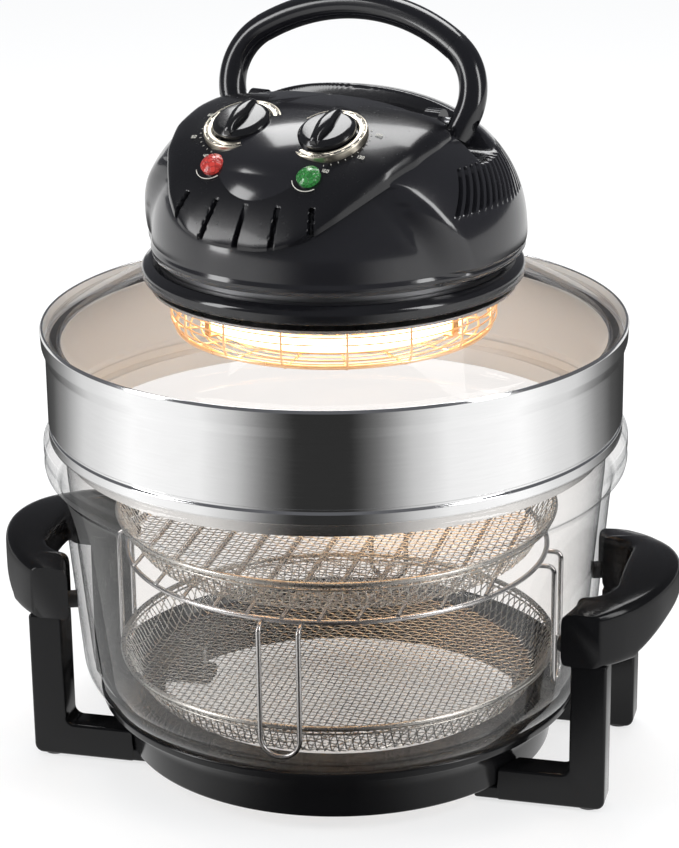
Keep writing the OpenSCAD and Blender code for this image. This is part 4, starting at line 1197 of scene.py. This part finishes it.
# %% Floor
FLOOR_HALF = 12.0
floor_mesh = bpy.data.meshes.new("floor")
floor_mesh.from_pydata(
    [(-FLOOR_HALF, -FLOOR_HALF, 0), (FLOOR_HALF, -FLOOR_HALF, 0), (FLOOR_HALF, FLOOR_HALF, 0),
     (-FLOOR_HALF, FLOOR_HALF, 0)], [], [(0, 1, 2, 3)])
floor = bpy.data.objects.new("floor", floor_mesh)
bpy.context.scene.collection.objects.link(floor)
print("floor:", 2 * FLOOR_HALF, "m wide")

# %% What the floor shows
DARK_SIDE = math.radians(10.0)
FAR_FLOOR, FAR_FADE, FAR_TONE = 1.1, 0.3, 0.52
MIRRORED_GREYS = ((0.08, 0.05), (0.16, 0.09), (0.27, 0.3), (0.4, 0.72), (0.5, 0.82),
                  (0.64, 1.1), (0.86, 0.95), (0.93, 0.6), (0.972, 0.17), (0.992, 0.03))


def floor_finish():
    """Lit paper mixed with more than half of plain white where it is looked at. Mirrored, it is a
    grey that follows (1 + the cosine of the angle from the dark side) / 2, and far out, behind the
    appliance, one even grey."""
    paint = Paint("floor_paper")
    path = paint.node("ShaderNodeLightPath")
    lit = paint.node("ShaderNodeBsdfDiffuse", inputs={"Color": (0.82, 0.82, 0.82)})
    white = paint.node("ShaderNodeEmission", inputs={"Color": (1.0, 1.0, 1.0), "Strength": 1.12})
    seen = (path.value("Is Camera Ray") + path.value("Is Transmission Ray")).clamp()
    paper = paint.mixed(seen * 0.6, lit, white)
    across, ahead = paint.axis("X"), paint.axis("Y")
    away = (across * across + ahead * ahead) ** 0.5
    facing = (across * math.sin(DARK_SIDE) - ahead * math.cos(DARK_SIDE)) / (away + 0.001)
    far = away.above(FAR_FLOOR, FAR_FADE) * FAR_TONE
    greys = paint.node(
        "ShaderNodeValToRGB",
        {"stops": [(place, (grey,) * 3) for place, grey in MIRRORED_GREYS]},
        {"Fac": (facing * 0.5 + 0.5).maths("MAXIMUM", far)},
    )
    mirrored = paint.node("ShaderNodeEmission", inputs={"Color": greys, "Strength": 1.0})
    return paint.finished(paint.mixed(path.value("Is Glossy Ray"), paper, mirrored))


floor_mesh.materials.append(floor_finish())
print("greys in the mirrored floor:", len(MIRRORED_GREYS))


# %% Soft boxes
def soft_box(name, place, size, power, target=(0.0, 0.0, 0.22)):
    """A rectangular lamp that looks at a point of the appliance."""
    data = bpy.data.lights.new(name, "AREA")
    data.shape = "RECTANGLE"
    data.size, data.size_y = size
    data.energy = power
    lamp = bpy.data.objects.new(name, data)
    bpy.context.scene.collection.objects.link(lamp)
    lamp.location = place
    away = np.array(place, float) - np.array(target, float)
    flat = math.hypot(away[0], away[1])
    lamp.rotation_euler = (math.atan2(flat, away[2]), 0.0, math.atan2(away[0], -away[1]))
    return lamp


soft_box("left_box", (-1.5, -0.9, 0.9), (0.5, 1.5), 15.0)
soft_box("right_box", (1.6, -0.5, 1.1), (0.45, 1.5), 14.0)
soft_box("top_box", (-0.15, 0.85, 1.7), (1.2, 0.7), 16.0)

# %% [markdown]
# The sky lights the scene evenly. What mirrors show of it is much darker, as in a room whose walls
# are out of the light.

# %% Sky
world = bpy.data.worlds.new("room")
bpy.context.scene.world = world
world.use_nodes = True
sky = world.node_tree
sky.nodes.clear()
sky_path = sky.nodes.new("ShaderNodeLightPath")
choose, sky_out = sky.nodes.new("ShaderNodeMixShader"), sky.nodes.new("ShaderNodeOutputWorld")
DAY, DUSK = ((0.95, 0.97, 1.0, 1.0), 0.8), ((0.9, 0.92, 1.0, 1.0), 0.13)
for socket, (colour, strength) in enumerate((DAY, DUSK), 1):
    light = sky.nodes.new("ShaderNodeBackground")
    light.inputs["Color"].default_value = colour
    light.inputs["Strength"].default_value = strength
    sky.links.new(light.outputs[0], choose.inputs[socket])
sky.links.new(sky_path.outputs["Is Glossy Ray"], choose.inputs[0])
sky.links.new(choose.outputs[0], sky_out.inputs[0])
bpy.context.scene.view_settings.view_transform = "Standard"
print("sky:", DAY[1], "and", DUSK[1], "in mirrors")
